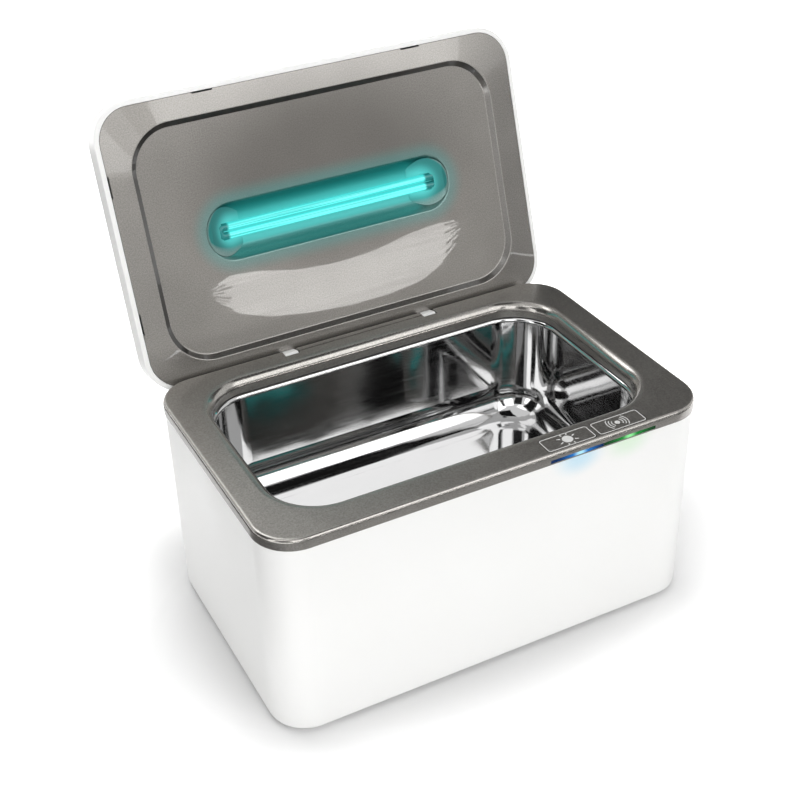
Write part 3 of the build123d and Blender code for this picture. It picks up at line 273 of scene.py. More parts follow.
def linerLacquer(name, look):
    # the same lacquer, clear-coated to a high gloss: it mirrors a strip light, and carries painted light and
    # shade: the lamp's turquoise glow, a dark reflection in the pan and the step's dark faces
    material, tree = newMaterial(name)
    lacquer, tone, step, slot, lamp = look["paint"], look["tone"], look["step"], look["slot"], look["lamp"]
    place = lidCoordinates(tree)
    colour, rough, relief = flakePaint(tree, lacquer, place)
    x, y, z = addNode(tree, "SeparateXYZ", {0: place}).outputs

    # a painted dark reflection: the colour darkens in the middle of the pan, above the lamp
    alongTone = addNode(tree, "Math", {0: x, 1: tone["lengthen"]}, operation="MULTIPLY")
    acrossTone = addNode(tree, "Math", {0: y, 1: tone["middleY"] * mm}, operation="SUBTRACT")
    paintedDarkShare = addNode(tree, "MapRange", {
        "Value": distanceOf(tree, alongTone, acrossTone),
        "From Min": tone["nearMm"] * mm, "From Max": tone["farMm"] * mm, "To Min": tone["share"], "To Max": 0.0,
    }, interpolation_type="SMOOTHERSTEP")
    paintedDarkReflection = addNode(tree, "Mix", {
        0: paintedDarkShare, 6: colour, 7: hexToLinear(tone["colour"]),
    }, data_type="RGBA")

    # distance from the slot's edge, below 0 inside it
    sideX = addNode(tree, "Math", {0: x}, operation="ABSOLUTE")
    slotY = addNode(tree, "Math", {0: y, 1: slot["y"] * mm}, operation="SUBTRACT")
    pastSlot = addNode(tree, "Math", {0: sideX, 1: slot["half"] * mm}, operation="SUBTRACT")
    beyondSlot = addNode(tree, "Math", {0: pastSlot, 1: 0.0}, operation="MAXIMUM")
    slotEdge = addNode(tree, "Math", {
        0: distanceOf(tree, beyondSlot, slotY), 1: slot["radius"] * mm,
    }, operation="SUBTRACT")

    # painted shade: the pan's step looks at the lid itself, so its steep faces are painted dark; more of it where
    # it faces right or down
    surface = addNode(tree, "TexCoord")
    facing = addNode(tree, "VectorMath", {
        0: surface.outputs["Normal"], 1: tuple(-lidRise),
    }, operation="DOT_PRODUCT")
    inward = addNode(tree, "VectorMath", {
        0: surface.outputs["Normal"], 1: tuple((Vector((1, 0, 0)) + lidBack).normalized()),
    }, operation="DOT_PRODUCT")
    flatFrom = addNode(tree, "MapRange", {
        "Value": inward.outputs["Value"], "From Min": step["turnSpan"][0], "From Max": step["turnSpan"][1],
        "To Min": step["steep"][0], "To Max": step["steep"][1],
    })
    steepTo = addNode(tree, "Math", {0: flatFrom, 1: step["softness"]}, operation="SUBTRACT")
    shade = addNode(tree, "MapRange", {
        "Value": facing.outputs["Value"], "From Min": steepTo, "From Max": flatFrom,
        "To Min": step["share"], "To Max": 0.0,
    }, interpolation_type="SMOOTHSTEP")
    for where, operation, limit in (
        (slotEdge, "GREATER_THAN", step["slotGap"]),
        (sideX, "LESS_THAN", step["halfX"] + step["margin"]),
        (y, "GREATER_THAN", step["frontY"] - step["margin"]),
        (y, "LESS_THAN", step["rearY"] + step["margin"]),
    ):
        within = addNode(tree, "Math", {0: where, 1: limit * mm}, operation=operation)
        shade = addNode(tree, "Math", {0: shade, 1: within}, operation="MULTIPLY")
    stepped = addNode(tree, "Mix", {
        0: shade, 6: paintedDarkReflection.outputs[2], 7: hexToLinear(step["colour"]),
    }, data_type="RGBA")

    # painted lamp light: a turquoise halo on the lacquer round the slot, and the slot coloured in the lamp's
    # turquoise, but its lower lip keeps the grey of the lacquer
    haloShare = addNode(tree, "MapRange", {
        "Value": slotEdge, "From Min": slot["haloSpan"][0] * mm, "From Max": slot["haloSpan"][1] * mm,
        "To Min": slot["haloShare"], "To Max": 0.0,
    }, interpolation_type="SMOOTHERSTEP")
    haloed = addNode(tree, "Mix", {
        0: haloShare, 6: stepped.outputs[2], 7: hexToLinear(slot["paintedHalo"]),
    }, data_type="RGBA")
    lipStretch = addNode(tree, "MapRange", {
        "Value": slotY, "From Min": slot["lipSpan"][0] * mm, "From Max": slot["lipSpan"][1] * mm,
        "To Min": 1.0, "To Max": slot["lipStretch"],
    }, interpolation_type="SMOOTHSTEP")
    slotDepth = addNode(tree, "Math", {0: -slot["washInset"] * mm, 1: slotEdge}, operation="SUBTRACT")
    lipDepth = addNode(tree, "Math", {0: slotDepth, 1: lipStretch}, operation="DIVIDE")
    inSlot = addNode(tree, "MapRange", {
        "Value": lipDepth, "From Min": 0.0, "From Max": slot["washEdge"] * mm,
        "To Min": 0.0, "To Max": slot["washShare"],
    }, interpolation_type="SMOOTHSTEP")
    paintedLampLit = addNode(tree, "Mix", {
        0: inSlot, 6: haloed.outputs[2], 7: hexToLinear(slot["paintedLampLight"]),
    }, data_type="RGBA")
    clearCoat = addNode(tree, "MapRange", {
        "Value": inSlot, "To Min": lacquer["coat"], "To Max": lacquer["slotCoat"],
    })

    # the rim outside the pan is crowned, so it shines like a slope that falls away from the pan
    middleY, halfY = (step["rearY"] + step["frontY"]) / 2, (step["rearY"] - step["frontY"]) / 2
    panY = addNode(tree, "Math", {0: y, 1: middleY * mm}, operation="SUBTRACT")
    sideY = addNode(tree, "Math", {0: panY}, operation="ABSOLUTE")
    beyondCorner = []
    for side, half in ((sideX, step["halfX"]), (sideY, halfY)):
        past = addNode(tree, "Math", {0: side, 1: (half - step["corner"]) * mm}, operation="SUBTRACT")
        beyondCorner.append(addNode(tree, "Math", {0: past, 1: 0.0}, operation="MAXIMUM"))
    pastPan = addNode(tree, "Math", {
        0: distanceOf(tree, *beyondCorner), 1: step["corner"] * mm,
    }, operation="SUBTRACT")
    onRim = addNode(tree, "Math", {0: pastPan, 1: 0.0}, operation="MAXIMUM")
    fall = addNode(tree, "Math", {0: onRim, 1: -tan(radians(step["crown"]))}, operation="MULTIPLY")
    crown = addNode(tree, "Bump", {"Strength": 1.0, "Distance": 1.0, "Height": fall, "Normal": relief})
    clearCrown = addNode(tree, "Bump", {"Strength": 1.0, "Distance": 1.0, "Height": fall})

    # painted lamp light: the walls themselves glow, by their distance from its tubes
    pastLamp = addNode(tree, "Math", {0: sideX, 1: lamp["half"] * mm}, operation="SUBTRACT")
    beyondLamp = addNode(tree, "Math", {0: pastLamp, 1: 0.0}, operation="MAXIMUM")
    overLamp = addNode(tree, "Math", {0: z, 1: lamp["depth"] * mm}, operation="SUBTRACT")
    nearness = addNode(tree, "MapRange", {
        "Value": distanceOf(tree, beyondLamp, slotY, overLamp),
        "From Min": lamp["nearMm"] * mm, "From Max": lamp["farMm"] * mm, "To Min": 1.0, "To Max": 0.0,
    }, interpolation_type="SMOOTHERSTEP")
    falling = addNode(tree, "Math", {0: nearness, 1: lamp["fallOff"]}, operation="POWER")
    power = addNode(tree, "Math", {0: falling, 1: lamp["power"]}, operation="MULTIPLY")

    shader = addNode(tree, "BsdfPrincipled", {
        "Base Color": paintedLampLit.outputs[2], "Metallic": lacquer["metallic"], "Roughness": rough, "Normal": crown,
        "Coat Weight": clearCoat, "Coat Roughness": lacquer["coatRoughness"], "Coat Normal": clearCrown,
        "Emission Color": hexToLinear(lamp["bright"]), "Emission Strength": power,
    })
    addNode(tree, "OutputMaterial", {"Surface": shader})
    return material


paint(["lid_liner"], linerLacquer("sprayedFlakeLacquerLiner", lidLiner))
paint(["lamp_holders"], linerLacquer("sprayedFlakeLacquerHolders", lidLiner))
print("lid liner done")


tankSteel = {
    "colour": "C3C3C3", "roughness": (0.02, 0.14), "waveMm": 22.0, "waveBumpMm": 0.25,
    # real buffing lines are a tenth as wide, and drawn so none would show
    "streakAlongMm": 26.0, "streakAcrossMm": 0.45, "streakBumpMm": 0.007, "streakSpan": (0.35, 0.70),
}


def drawnSteel(name, look):
    # stainless sheet, deep drawn and buffed: a mirror with soft waves and faint streaks along the draw
    material, tree = newMaterial(name)
    coordinates = addNode(tree, "TexCoord")
    along, across = grainScale(look["streakAlongMm"]), grainScale(look["streakAcrossMm"])
    stretched = addNode(tree, "Mapping", {
        "Vector": coordinates.outputs["Object"], "Scale": (along, along, across),
    })
    streaks = addNode(tree, "TexNoise", {"Vector": stretched, "Scale": 1.0, "Detail": 4.0, "Roughness": 0.6})
    waves = addNode(tree, "TexNoise", {
        "Vector": coordinates.outputs["Object"], "Scale": grainScale(look["waveMm"]), "Detail": 1.0,
    })
    rough = addNode(tree, "MapRange", {
        "Value": streaks, "From Min": look["streakSpan"][0], "From Max": look["streakSpan"][1],
        "To Min": look["roughness"][0], "To Max": look["roughness"][1],
    })
    dents = addNode(tree, "Bump", {"Strength": 0.5, "Distance": look["waveBumpMm"] * mm, "Height": waves})
    relief = addNode(tree, "Bump", {
        "Strength": 0.4, "Distance": look["streakBumpMm"] * mm, "Height": streaks, "Normal": dents,
    })
    shader = addNode(tree, "BsdfPrincipled", {
        "Base Color": hexToLinear(look["colour"]), "Metallic": 1.0, "Roughness": rough, "Normal": relief,
    })
    addNode(tree, "OutputMaterial", {"Surface": shader})
    return material


paint(["tank"], drawnSteel("drawnStainlessSteel", tankSteel))
print("tank done")


lampTube = {
    "glass": "2A8F8E", "dim": "36B9B6", "core": "78FBF5", "strength": 1.0, "roughness": 0.1, "ior": 1.46,
    "middleY": 0.4, "halfPitch": 1.95, "coreSpan": (0.765, 1.785), "litMm": 48.0, "darkMm": 50.0,
    # the glass's own drawing lines are finer, and drawn so none would show
    "streakAlongMm": 60.0, "streakAcrossMm": 0.45, "streakSpan": (0.36, 0.56),
}


def litGlass(name, look):
    # drawn quartz tubes with glowing gas: bright along each middle, with fine lengthwise lines and dark ends
    material, tree = newMaterial(name)
    place = lidCoordinates(tree)
    along, across = grainScale(look["streakAlongMm"]), grainScale(look["streakAcrossMm"])
    stretched = addNode(tree, "Mapping", {"Vector": place, "Scale": (along, across, across)})
    streaks = addNode(tree, "TexNoise", {"Vector": stretched, "Scale": 1.0, "Detail": 1.0})
    streakShare = addNode(tree, "MapRange", {
        "Value": streaks, "From Min": look["streakSpan"][0], "From Max": look["streakSpan"][1],
    })
    x, y = addNode(tree, "SeparateXYZ", {0: place}).outputs[:2]
    tubeY = addNode(tree, "Math", {0: y, 1: look["middleY"] * mm}, operation="SUBTRACT")
    sideY = addNode(tree, "Math", {0: tubeY}, operation="ABSOLUTE")
    fromAxis = addNode(tree, "Math", {0: sideY, 1: look["halfPitch"] * mm}, operation="SUBTRACT")
    offAxis = addNode(tree, "Math", {0: fromAxis}, operation="ABSOLUTE")
    inCore = addNode(tree, "MapRange", {
        "Value": offAxis, "From Min": look["coreSpan"][0] * mm, "From Max": look["coreSpan"][1] * mm,
        "To Min": 1.0, "To Max": 0.0,
    }, interpolation_type="SMOOTHERSTEP")
    coreShare = addNode(tree, "Math", {0: streakShare, 1: inCore}, operation="MULTIPLY")
    light = addNode(tree, "Mix", {
        0: coreShare, 6: hexToLinear(look["dim"]), 7: hexToLinear(look["core"]),
    }, data_type="RGBA")
    sideX = addNode(tree, "Math", {0: x}, operation="ABSOLUTE")
    power = addNode(tree, "MapRange", {
        "Value": sideX, "From Min": look["litMm"] * mm, "From Max": look["darkMm"] * mm,
        "To Min": look["strength"], "To Max": 0.0,
    }, interpolation_type="SMOOTHERSTEP")
    shader = addNode(tree, "BsdfPrincipled", {
        "Base Color": hexToLinear(look["glass"]), "Roughness": look["roughness"], "IOR": look["ior"],
        "Emission Color": light.outputs[2], "Emission Strength": power,
    })
    addNode(tree, "OutputMaterial", {"Surface": shader})
    return material


paint(["uv_lamp"], litGlass("drawnQuartzTubeLit", lampTube))
print("lamp done")


barLight = {
    "y": -63.15, "z": 96.2, "coreMm": 4.2, "rimMm": 12.5, "stretch": (1, 0.2, 0.6), "hazeMm": 1.2,
    "roughness": (0.12, 0.3), "ior": 1.49, "strength": 1.0,
    "blue": {"x": 35.7, "core": "B4EEFF", "rim": "1C74C4", "smoke": "021C40"},
    "green": {"x": 59.5, "core": "94F0A0", "rim": "188A34", "smoke": "022E10"},
}


def litAcrylic(name, look, colours):
    # moulded tinted acrylic lit from behind by one lamp: a bright spot that sinks to dark at both ends
    material, tree = newMaterial(name)
    place = (colours["x"], look["y"], look["z"])
    core = softSpot(tree, place, look["coreMm"], look["stretch"])
    rim = softSpot(tree, place, look["rimMm"], look["stretch"])
    coordinates = addNode(tree, "TexCoord")
    haze = addNode(tree, "TexNoise", {
        "Vector": coordinates.outputs["Object"], "Scale": grainScale(look["hazeMm"]), "Detail": 2.0,
    })
    glow = addNode(tree, "Mix", {
        0: rim, 6: hexToLinear(colours["smoke"]), 7: hexToLinear(colours["rim"]),
    }, data_type="RGBA")
    light = addNode(tree, "Mix", {
        0: core, 6: glow.outputs[2], 7: hexToLinear(colours["core"]),
    }, data_type="RGBA")
    rough = addNode(tree, "MapRange", {
        "Value": haze, "To Min": look["roughness"][0], "To Max": look["roughness"][1],
    })
    shader = addNode(tree, "BsdfPrincipled", {
        "Base Color": hexToLinear(colours["smoke"]), "Roughness": rough, "IOR": look["ior"],
        "Emission Color": light.outputs[2], "Emission Strength": look["strength"],
    })
    addNode(tree, "OutputMaterial", {"Surface": shader})
    return material


paint(["light_bar_blue"], litAcrylic("tintedAcrylicBlue", barLight, barLight["blue"]))
paint(["light_bar_green"], litAcrylic("tintedAcrylicGreen", barLight, barLight["green"]))
print("light bar done")


# each finish mixes two close tones in a grain, and one without an IOR is a metal; grains finer than half a
# millimetre are drawn at about that, or they wouldn't show
plainFinishes = {
    "mouldedAbsDark": {    # satin, nearly black with a trace of blue
        "pieces": ["light_divider"],
        "tones": ("0C1A22", "122A30"), "grainMm": 0.6, "roughness": 0.4, "ior": 1.54, "bumpMm": 0.01,
    },
    "sparkTexturedAbsBase": {    # pale and matt, with the fine pits of a spark-eroded tool
        "pieces": ["base_plate"],
        "tones": ("E4E4E2", "D6D6D4"), "grainMm": 0.7, "roughness": 0.5, "ior": 1.54, "bumpMm": 0.05,
    },
    "mouldedRubberFeet": {    # dull, dusty black
        "pieces": ["feet"],
        "tones": ("2A2A2C", "1E1E20"), "grainMm": 0.8, "roughness": 0.75, "ior": 1.52, "bumpMm": 0.05,
    },
    "castSiliconeGasket": {    # soft, milky grey without a highlight
        "pieces": ["tank_gasket"],
        "tones": ("D9DAD8", "C6C7C5"), "grainMm": 0.9, "roughness": 0.55, "ior": 1.41, "bumpMm": 0.02,
    },
    "zincPlatedSteel": {    # bright bluish grey, a little cloudy
        "pieces": ["base_screws", "deck_screws", "clip_screws", "panel_screws", "inverter_screws", "board_screws"],
        "tones": ("B9BABC", "94969A"), "grainMm": 0.5, "roughness": 0.32, "bumpMm": 0.02,
    },
    "drawnSteelWire": {    # smooth grey with a long highlight
        "pieces": ["hinge_pin"],
        "tones": ("A6A6A8", "8E8E90"), "grainMm": 0.4, "roughness": 0.28, "bumpMm": 0.01,
    },
    "rolledSpringSteel": {    # warm grey and satin, as it leaves the rolls
        "pieces": ["tank_clips"],
        "tones": ("B4B3B0", "9B9A98"), "grainMm": 0.5, "roughness": 0.35, "bumpMm": 0.02,
    },
    "castEpoxyResin": {    # dark and glossy, self-levelled
        "pieces": ["piezo_bond"],
        "tones": ("3A3A40", "2C2C30"), "grainMm": 1.0, "roughness": 0.25, "ior": 1.55, "bumpMm": 0.02,
    },
    "firedCeramic": {    # chalky tan
        "pieces": ["piezo_disc"],
        "tones": ("B8AE92", "A39A80"), "grainMm": 0.5, "roughness": 0.6, "ior": 1.6, "bumpMm": 0.02,
    },
    "firedSilver": {    # white metal, matt from the kiln
        "pieces": ["piezo_electrode"],
        "tones": ("DAD9D4", "C4C3BE"), "grainMm": 0.4, "roughness": 0.4, "bumpMm": 0.01,
    },
    "solderResistBoard": {    # green varnish over glass cloth, faintly woven
        "pieces": ["control_board", "driver_board", "inverter_board"],
        "tones": ("1E6B3C", "15502C"), "grainMm": 2.4, "roughness": 0.35, "ior": 1.55, "bumpMm": 0.03,
    },
    "mouldedNylonSwitches": {    # plain black, half matt
        "pieces": ["key_switches"],
        "tones": ("1B1B1C", "262627"), "grainMm": 0.5, "roughness": 0.45, "ior": 1.53, "bumpMm": 0.02,
    },
    "castEpoxyLights": {    # creamy and glassy
        "pieces": ["status_lights"],
        "tones": ("EDEBDD", "D8D6C8"), "grainMm": 0.6, "roughness": 0.15, "ior": 1.55, "bumpMm": 0.005,
    },
    "nickelPlatedCaps": {    # bright, faintly warm metal
        "pieces": ["lamp_caps"],
        "tones": ("C9CBCC", "AEB1B3"), "grainMm": 0.4, "roughness": 0.25, "bumpMm": 0.01,
    },
    "pressedFerrite": {    # dense charcoal, a little powdery
        "pieces": ["transformer_core", "choke_core"],
        "tones": ("36363A", "28282B"), "grainMm": 0.5, "roughness": 0.55, "ior": 1.6, "bumpMm": 0.03,
    },
    "polyesterTapedCoil": {    # yellow film, wrinkled and half glossy
        "pieces": ["transformer_coil", "inverter_coil"],
        "tones": ("D9B73A", "C19E28"), "grainMm": 1.2, "roughness": 0.35, "ior": 1.57, "bumpMm": 0.04,
    },
    "enamelledCopperWire": {    # deep orange brown, lumpy as wound wire is
        "pieces": ["choke_coil"],
        "tones": ("B5632E", "8E4A20"), "grainMm": 0.7, "roughness": 0.3, "bumpMm": 0.15,
    },
    "extrudedAluminium": {    # silvery satin
        "pieces": ["heat_sink"],
        "tones": ("C2C4C7", "ABADB1"), "grainMm": 0.4, "roughness": 0.38, "bumpMm": 0.02,
    },
    "transferMouldedEpoxy": {    # flat black with a dry grain
        "pieces": ["power_transistors"],
        "tones": ("1E1E20", "2A2A2C"), "grainMm": 0.5, "roughness": 0.5, "ior": 1.55, "bumpMm": 0.02,
    },
    "shrinkSleevedCans": {    # midnight blue film drawn tight, with soft highlights
        "pieces": ["smoothing_capacitors"],
        "tones": ("1E2440", "171B30"), "grainMm": 1.5, "roughness": 0.3, "ior": 1.53, "bumpMm": 0.01,
    },
    "dippedFilmBox": {    # mustard yellow, smooth and half matt
        "pieces": ["film_capacitor"],
        "tones": ("D8BC3C", "C4A62E"), "grainMm": 0.8, "roughness": 0.4, "ior": 1.55, "bumpMm": 0.02,
    },
    "tinPlatedBrass": {    # pale straw metal
        "pieces": ["fuse_clips", "inlet_contacts"],
        "tones": ("CFC9B6", "B5AE98"), "grainMm": 0.4, "roughness": 0.3, "bumpMm": 0.01,
    },
    "drawnGlassTube": {    # pale green grey with sharp highlights
        "pieces": ["fuse"],
        "tones": ("DDE6E6", "CBD6D6"), "grainMm": 1.5, "roughness": 0.06, "ior": 1.5, "bumpMm": 0.005,
    },
    "mouldedPolyamideTerminals": {    # strong green, half matt
        "pieces": ["board_terminals"],
        "tones": ("1F7A4C", "176139"), "grainMm": 0.6, "roughness": 0.45, "ior": 1.53, "bumpMm": 0.02,
    },
    "sparkTexturedInlet": {    # black and matt, with a fine tooth
        "pieces": ["power_inlet"],
        "tones": ("151517", "202022"), "grainMm": 0.4, "roughness": 0.5, "ior": 1.54, "bumpMm": 0.04,
    },
}


grainSwing = (-0.05, 0.07)    # how far a grain moves the roughness


def speckled(name, look):
    # two tones in a fine grain, whose roughness and relief come from the same grain
    material, tree = newMaterial(name)
    coordinates = addNode(tree, "TexCoord")
    grain = addNode(tree, "TexNoise", {
        "Vector": coordinates.outputs["Object"], "Scale": grainScale(look["grainMm"]),
        "Detail": 3.0, "Roughness": 0.55,
    })
    colour = addNode(tree, "Mix", {
        0: grain, 6: hexToLinear(look["tones"][0]), 7: hexToLinear(look["tones"][1]),
    }, data_type="RGBA")
    rough = addNode(tree, "MapRange", {
        "Value": grain, "From Min": noiseSpan[0], "From Max": noiseSpan[1],
        "To Min": look["roughness"] + grainSwing[0], "To Max": look["roughness"] + grainSwing[1],
    })
    relief = addNode(tree, "Bump", {"Strength": 0.4, "Distance": look["bumpMm"] * mm, "Height": grain})
    shader = addNode(tree, "BsdfPrincipled", {
        "Base Color": colour.outputs[2], "Roughness": rough, "Normal": relief,
        "Metallic": 0.0 if "ior" in look else 1.0,
    })
    if "ior" in look:
        shader.inputs["IOR"].default_value = look["ior"]
    addNode(tree, "OutputMaterial", {"Surface": shader})
    return material


for name, look in plainFinishes.items():
    paint(look["pieces"], speckled(name, look))
print("plain finishes done")


printInk = {
    "light": "E6E6E4", "dark": "CCCCCA", "grainMm": 0.5, "roughness": 0.5, "ior": 1.5,
    "topMm": 99.8, "thickMm": 0.04, "lineMm": 0.38, "circleSteps": 40, "bandSteps": 14, "cornerSteps": 8,
}


def screenedInk(name, look):
    # screen-printed light grey ink: matt, and thin enough to look a little uneven
    material, tree = newMaterial(name)
    coordinates = addNode(tree, "TexCoord")
    grain = addNode(tree, "TexNoise", {
        "Vector": coordinates.outputs["Object"], "Scale": grainScale(look["grainMm"]), "Detail": 2.0,
    })
    colour = addNode(tree, "Mix", {
        0: grain, 6: hexToLinear(look["dark"]), 7: hexToLinear(look["light"]),
    }, data_type="RGBA")
    shader = addNode(tree, "BsdfPrincipled", {
        "Base Color": colour.outputs[2], "Roughness": look["roughness"], "IOR": look["ior"],
    })
    addNode(tree, "OutputMaterial", {"Surface": shader})
    return material


ink = screenedInk("screenPrintedInk", printInk)


def printPiece(name, shapes, body):
    # thin printed shapes, each an outer and an inner ring of (x, y) points; the inner one of a full shape is empty
    mesh = bpy.data.meshes.new(name)
    build = bmesh.new()
    levels = (printInk["topMm"], printInk["topMm"] + printInk["thickMm"])
    for rings in shapes:
        (outLow, inLow), (outHigh, inHigh) = [
            [[build.verts.new((x * mm, y * mm, z * mm)) for x, y in ring] for ring in rings] for z in levels
        ]
        if not inLow:
            build.faces.new(outHigh)
            build.faces.new(outLow[::-1])
        for i in range(len(outLow)):
            j = (i + 1) % len(outLow)
            build.faces.new((outLow[i], outLow[j], outHigh[j], outHigh[i]))
            if inLow:
                build.faces.new((outHigh[i], outHigh[j], inHigh[j], inHigh[i]))
                build.faces.new((outLow[j], outLow[i], inLow[i], inLow[j]))
                build.faces.new((inLow[j], inLow[i], inHigh[i], inHigh[j]))
    build.to_mesh(mesh)
    build.free()
    piece = bpy.data.objects.new(name, mesh)
    bpy.context.scene.collection.objects.link(piece)
    mesh.materials.append(ink)
    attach(piece, body)


def arcPoints(x, y, radius, start, end, steps):
    # points on a circle from one angle to another, both in degrees and both included
    angles = [radians(start + (end - start) * i / steps) for i in range(steps + 1)]
    return [(x + radius * cos(angle), y + radius * sin(angle)) for angle in angles]


def roundedOutline(x, y, length, width, corner):
    points = []
    for sideX, sideY, start in ((1, 1, 0), (-1, 1, 90), (-1, -1, 180), (1, -1, 270)):
        cornerX, cornerY = x + sideX * (length / 2 - corner), y + sideY * (width / 2 - corner)
        points += arcPoints(cornerX, cornerY, corner, start, start + 90, printInk["cornerSteps"])
    return points


def circleOutline(x, y, radius):
    return arcPoints(x, y, radius, 0, 360, printInk["circleSteps"])[:-1]


def bandOutline(x, y, radius, line, middle, spread):
    # part of a ring, as one closed outline
    start, end, steps = middle - spread / 2, middle + spread / 2, printInk["bandSteps"]
    outside = arcPoints(x, y, radius + line / 2, start, end, steps)
    return outside + arcPoints(x, y, radius - line / 2, end, start, steps)


keyPrint = {
    "length": 22.7, "width": 8.7, "corner": 1.35, "inset": 0.12, "y": -57.2, "lampX": 33.3, "cleanX": 57.7,
}


def frameShape(x):
    # the outline printed round a key, as an outer and an inner ring
    rings = []
    for gap in (keyPrint["inset"], keyPrint["inset"] + printInk["lineMm"]):
        length, width = keyPrint["length"] - 2 * gap, keyPrint["width"] - 2 * gap
        rings.append(roundedOutline(x, keyPrint["y"], length, width, keyPrint["corner"] - gap))
    return rings


# half widths of each ray where it starts and at its tip; the turn is in degrees
sunMark = {"disc": 2.3, "rayFrom": 3.0, "rayTo": 4.5, "rayHalf": 0.3, "tipHalf": 0.21, "rays": 8, "turn": 22.5}

sunShapes = [(circleOutline(keyPrint["lampX"], keyPrint["y"], sunMark["disc"]), ())]
for ray in range(sunMark["rays"]):
    angle = radians(360 * ray / sunMark["rays"] + sunMark["turn"])
    rayCorners = [
        (
            keyPrint["lampX"] + cos(angle) * reach - sin(angle) * side,
            keyPrint["y"] + sin(angle) * reach + cos(angle) * side,
        )
        for reach, side in (
            (sunMark["rayFrom"], -sunMark["rayHalf"]), (sunMark["rayTo"], -sunMark["tipHalf"]),
            (sunMark["rayTo"], sunMark["tipHalf"]), (sunMark["rayFrom"], sunMark["rayHalf"]),
        )
    ]
    sunShapes.append((rayCorners, ()))
printPiece("lamp_key_frame_print", [frameShape(keyPrint["lampX"])], "lamp_key")
printPiece("lamp_key_sun_print", sunShapes, "lamp_key")

# x is counted from the key's middle, and the spread of each arc is in degrees
waveMark = {"dot": 1.15, "radii": (2.4, 3.6, 4.8), "line": 0.4, "spread": 84, "x": -0.4}

waveX = keyPrint["cleanX"] + waveMark["x"]
waveShapes = [(circleOutline(waveX, keyPrint["y"], waveMark["dot"]), ())]
for radius in waveMark["radii"]:
    for middle in (0, 180):
        band = bandOutline(waveX, keyPrint["y"], radius, waveMark["line"], middle, waveMark["spread"])
        waveShapes.append((band, ()))
printPiece("clean_key_frame_print", [frameShape(keyPrint["cleanX"])], "clean_key")
printPiece("clean_key_wave_print", waveShapes, "clean_key")
print("key marks printed")


# the floor's shading, partly painted, is squeezed in x, so that it reaches as far past the body's ends as past its
# sides
studio = {
    "floorColour": "F2F2F2", "floorSize": 8000.0, "squeeze": (0.63, 1, 1),
    "nearGain": 0.94, "farGain": 2.0, "nearMm": 62.0, "farMm": 148.0, "lift": 3.2, "liftMm": 1300.0,
    "skyColour": "FFFFFF", "skyStrength": 0.32,
}


def seenRays(tree):
    # 1 for rays that the camera, a mirror or a glass sends out, 0 for those that light the pieces
    path = addNode(tree, "LightPath")
    seen = path.outputs["Is Camera Ray"]
    for ray in ("Is Glossy Ray", "Is Transmission Ray"):
        seen = addNode(tree, "Math", {0: seen, 1: path.outputs[ray]}, operation="MAXIMUM")
    return seen


def addMesh(name, corners, faces, material):
    mesh = bpy.data.meshes.new(name)
    mesh.from_pydata(corners, [], faces)
    mesh.materials.append(material)
    item = bpy.data.objects.new(name, mesh)
    bpy.context.scene.collection.objects.link(item)
    return item


def flatCorners(width, height):
    return [(x * width / 2, y * height / 2, 0) for x, y in ((-1, -1), (1, -1), (1, 1), (-1, 1))]


def paperFloor(name, look):
    # uncoated background paper: matt white; for seen rays it is dimmer near the body, a painted soft shadow on top
    # of the cast one, and plain white further out
    material, tree = newMaterial(name)
    coordinates = addNode(tree, "TexCoord")
    squeezed = addNode(tree, "VectorMath", {
        0: coordinates.outputs["Object"], 1: look["squeeze"],
    }, operation="MULTIPLY")
    reach = addNode(tree, "VectorMath", {0: squeezed}, operation="LENGTH").outputs["Value"]
    gain = addNode(tree, "MapRange", {
        "Value": reach, "From Min": look["nearMm"] * mm, "From Max": look["farMm"] * mm,
        "To Min": look["nearGain"], "To Max": look["farGain"],
    }, interpolation_type="SMOOTHSTEP")
    # beyond the soft boxes' reach it is lifted further, so that no horizon shows
    lift = addNode(tree, "MapRange", {
        "Value": reach, "From Min": look["farMm"] * mm, "From Max": look["liftMm"] * mm,
        "To Min": 0.0, "To Max": look["lift"],
    })
    lifted = addNode(tree, "Math", {0: gain, 1: lift}, operation="ADD")
    paper = hexToLinear(look["floorColour"])
    bright = addNode(tree, "VectorMath", {0: paper[:3], "Scale": lifted}, operation="SCALE")
    tone = addNode(tree, "Mix", {0: seenRays(tree), 6: paper, 7: bright}, data_type="RGBA")
    shader = addNode(tree, "BsdfDiffuse", {"Color": tone.outputs[2]})
    addNode(tree, "OutputMaterial", {"Surface": shader})
    return material


floorSide = studio["floorSize"] * mm
paper = paperFloor("uncoatedPaperFloor", studio)
floor = addMesh("studio_floor", flatCorners(floorSide, floorSide), [(0, 1, 2, 3)], paper)

world = bpy.data.worlds.new("studio_sky")
bpy.context.scene.world = world
world.use_nodes = True
world.node_tree.nodes.clear()
skyStrength = addNode(world.node_tree, "MapRange", {
    "Value": seenRays(world.node_tree), "To Min": studio["skyStrength"], "To Max": 1.0,
})
sky = addNode(world.node_tree, "Background", {"Color": hexToLinear(studio["skyColour"]), "Strength": skyStrength})
addNode(world.node_tree, "OutputWorld", {"Surface": sky})
print("floor and sky made")

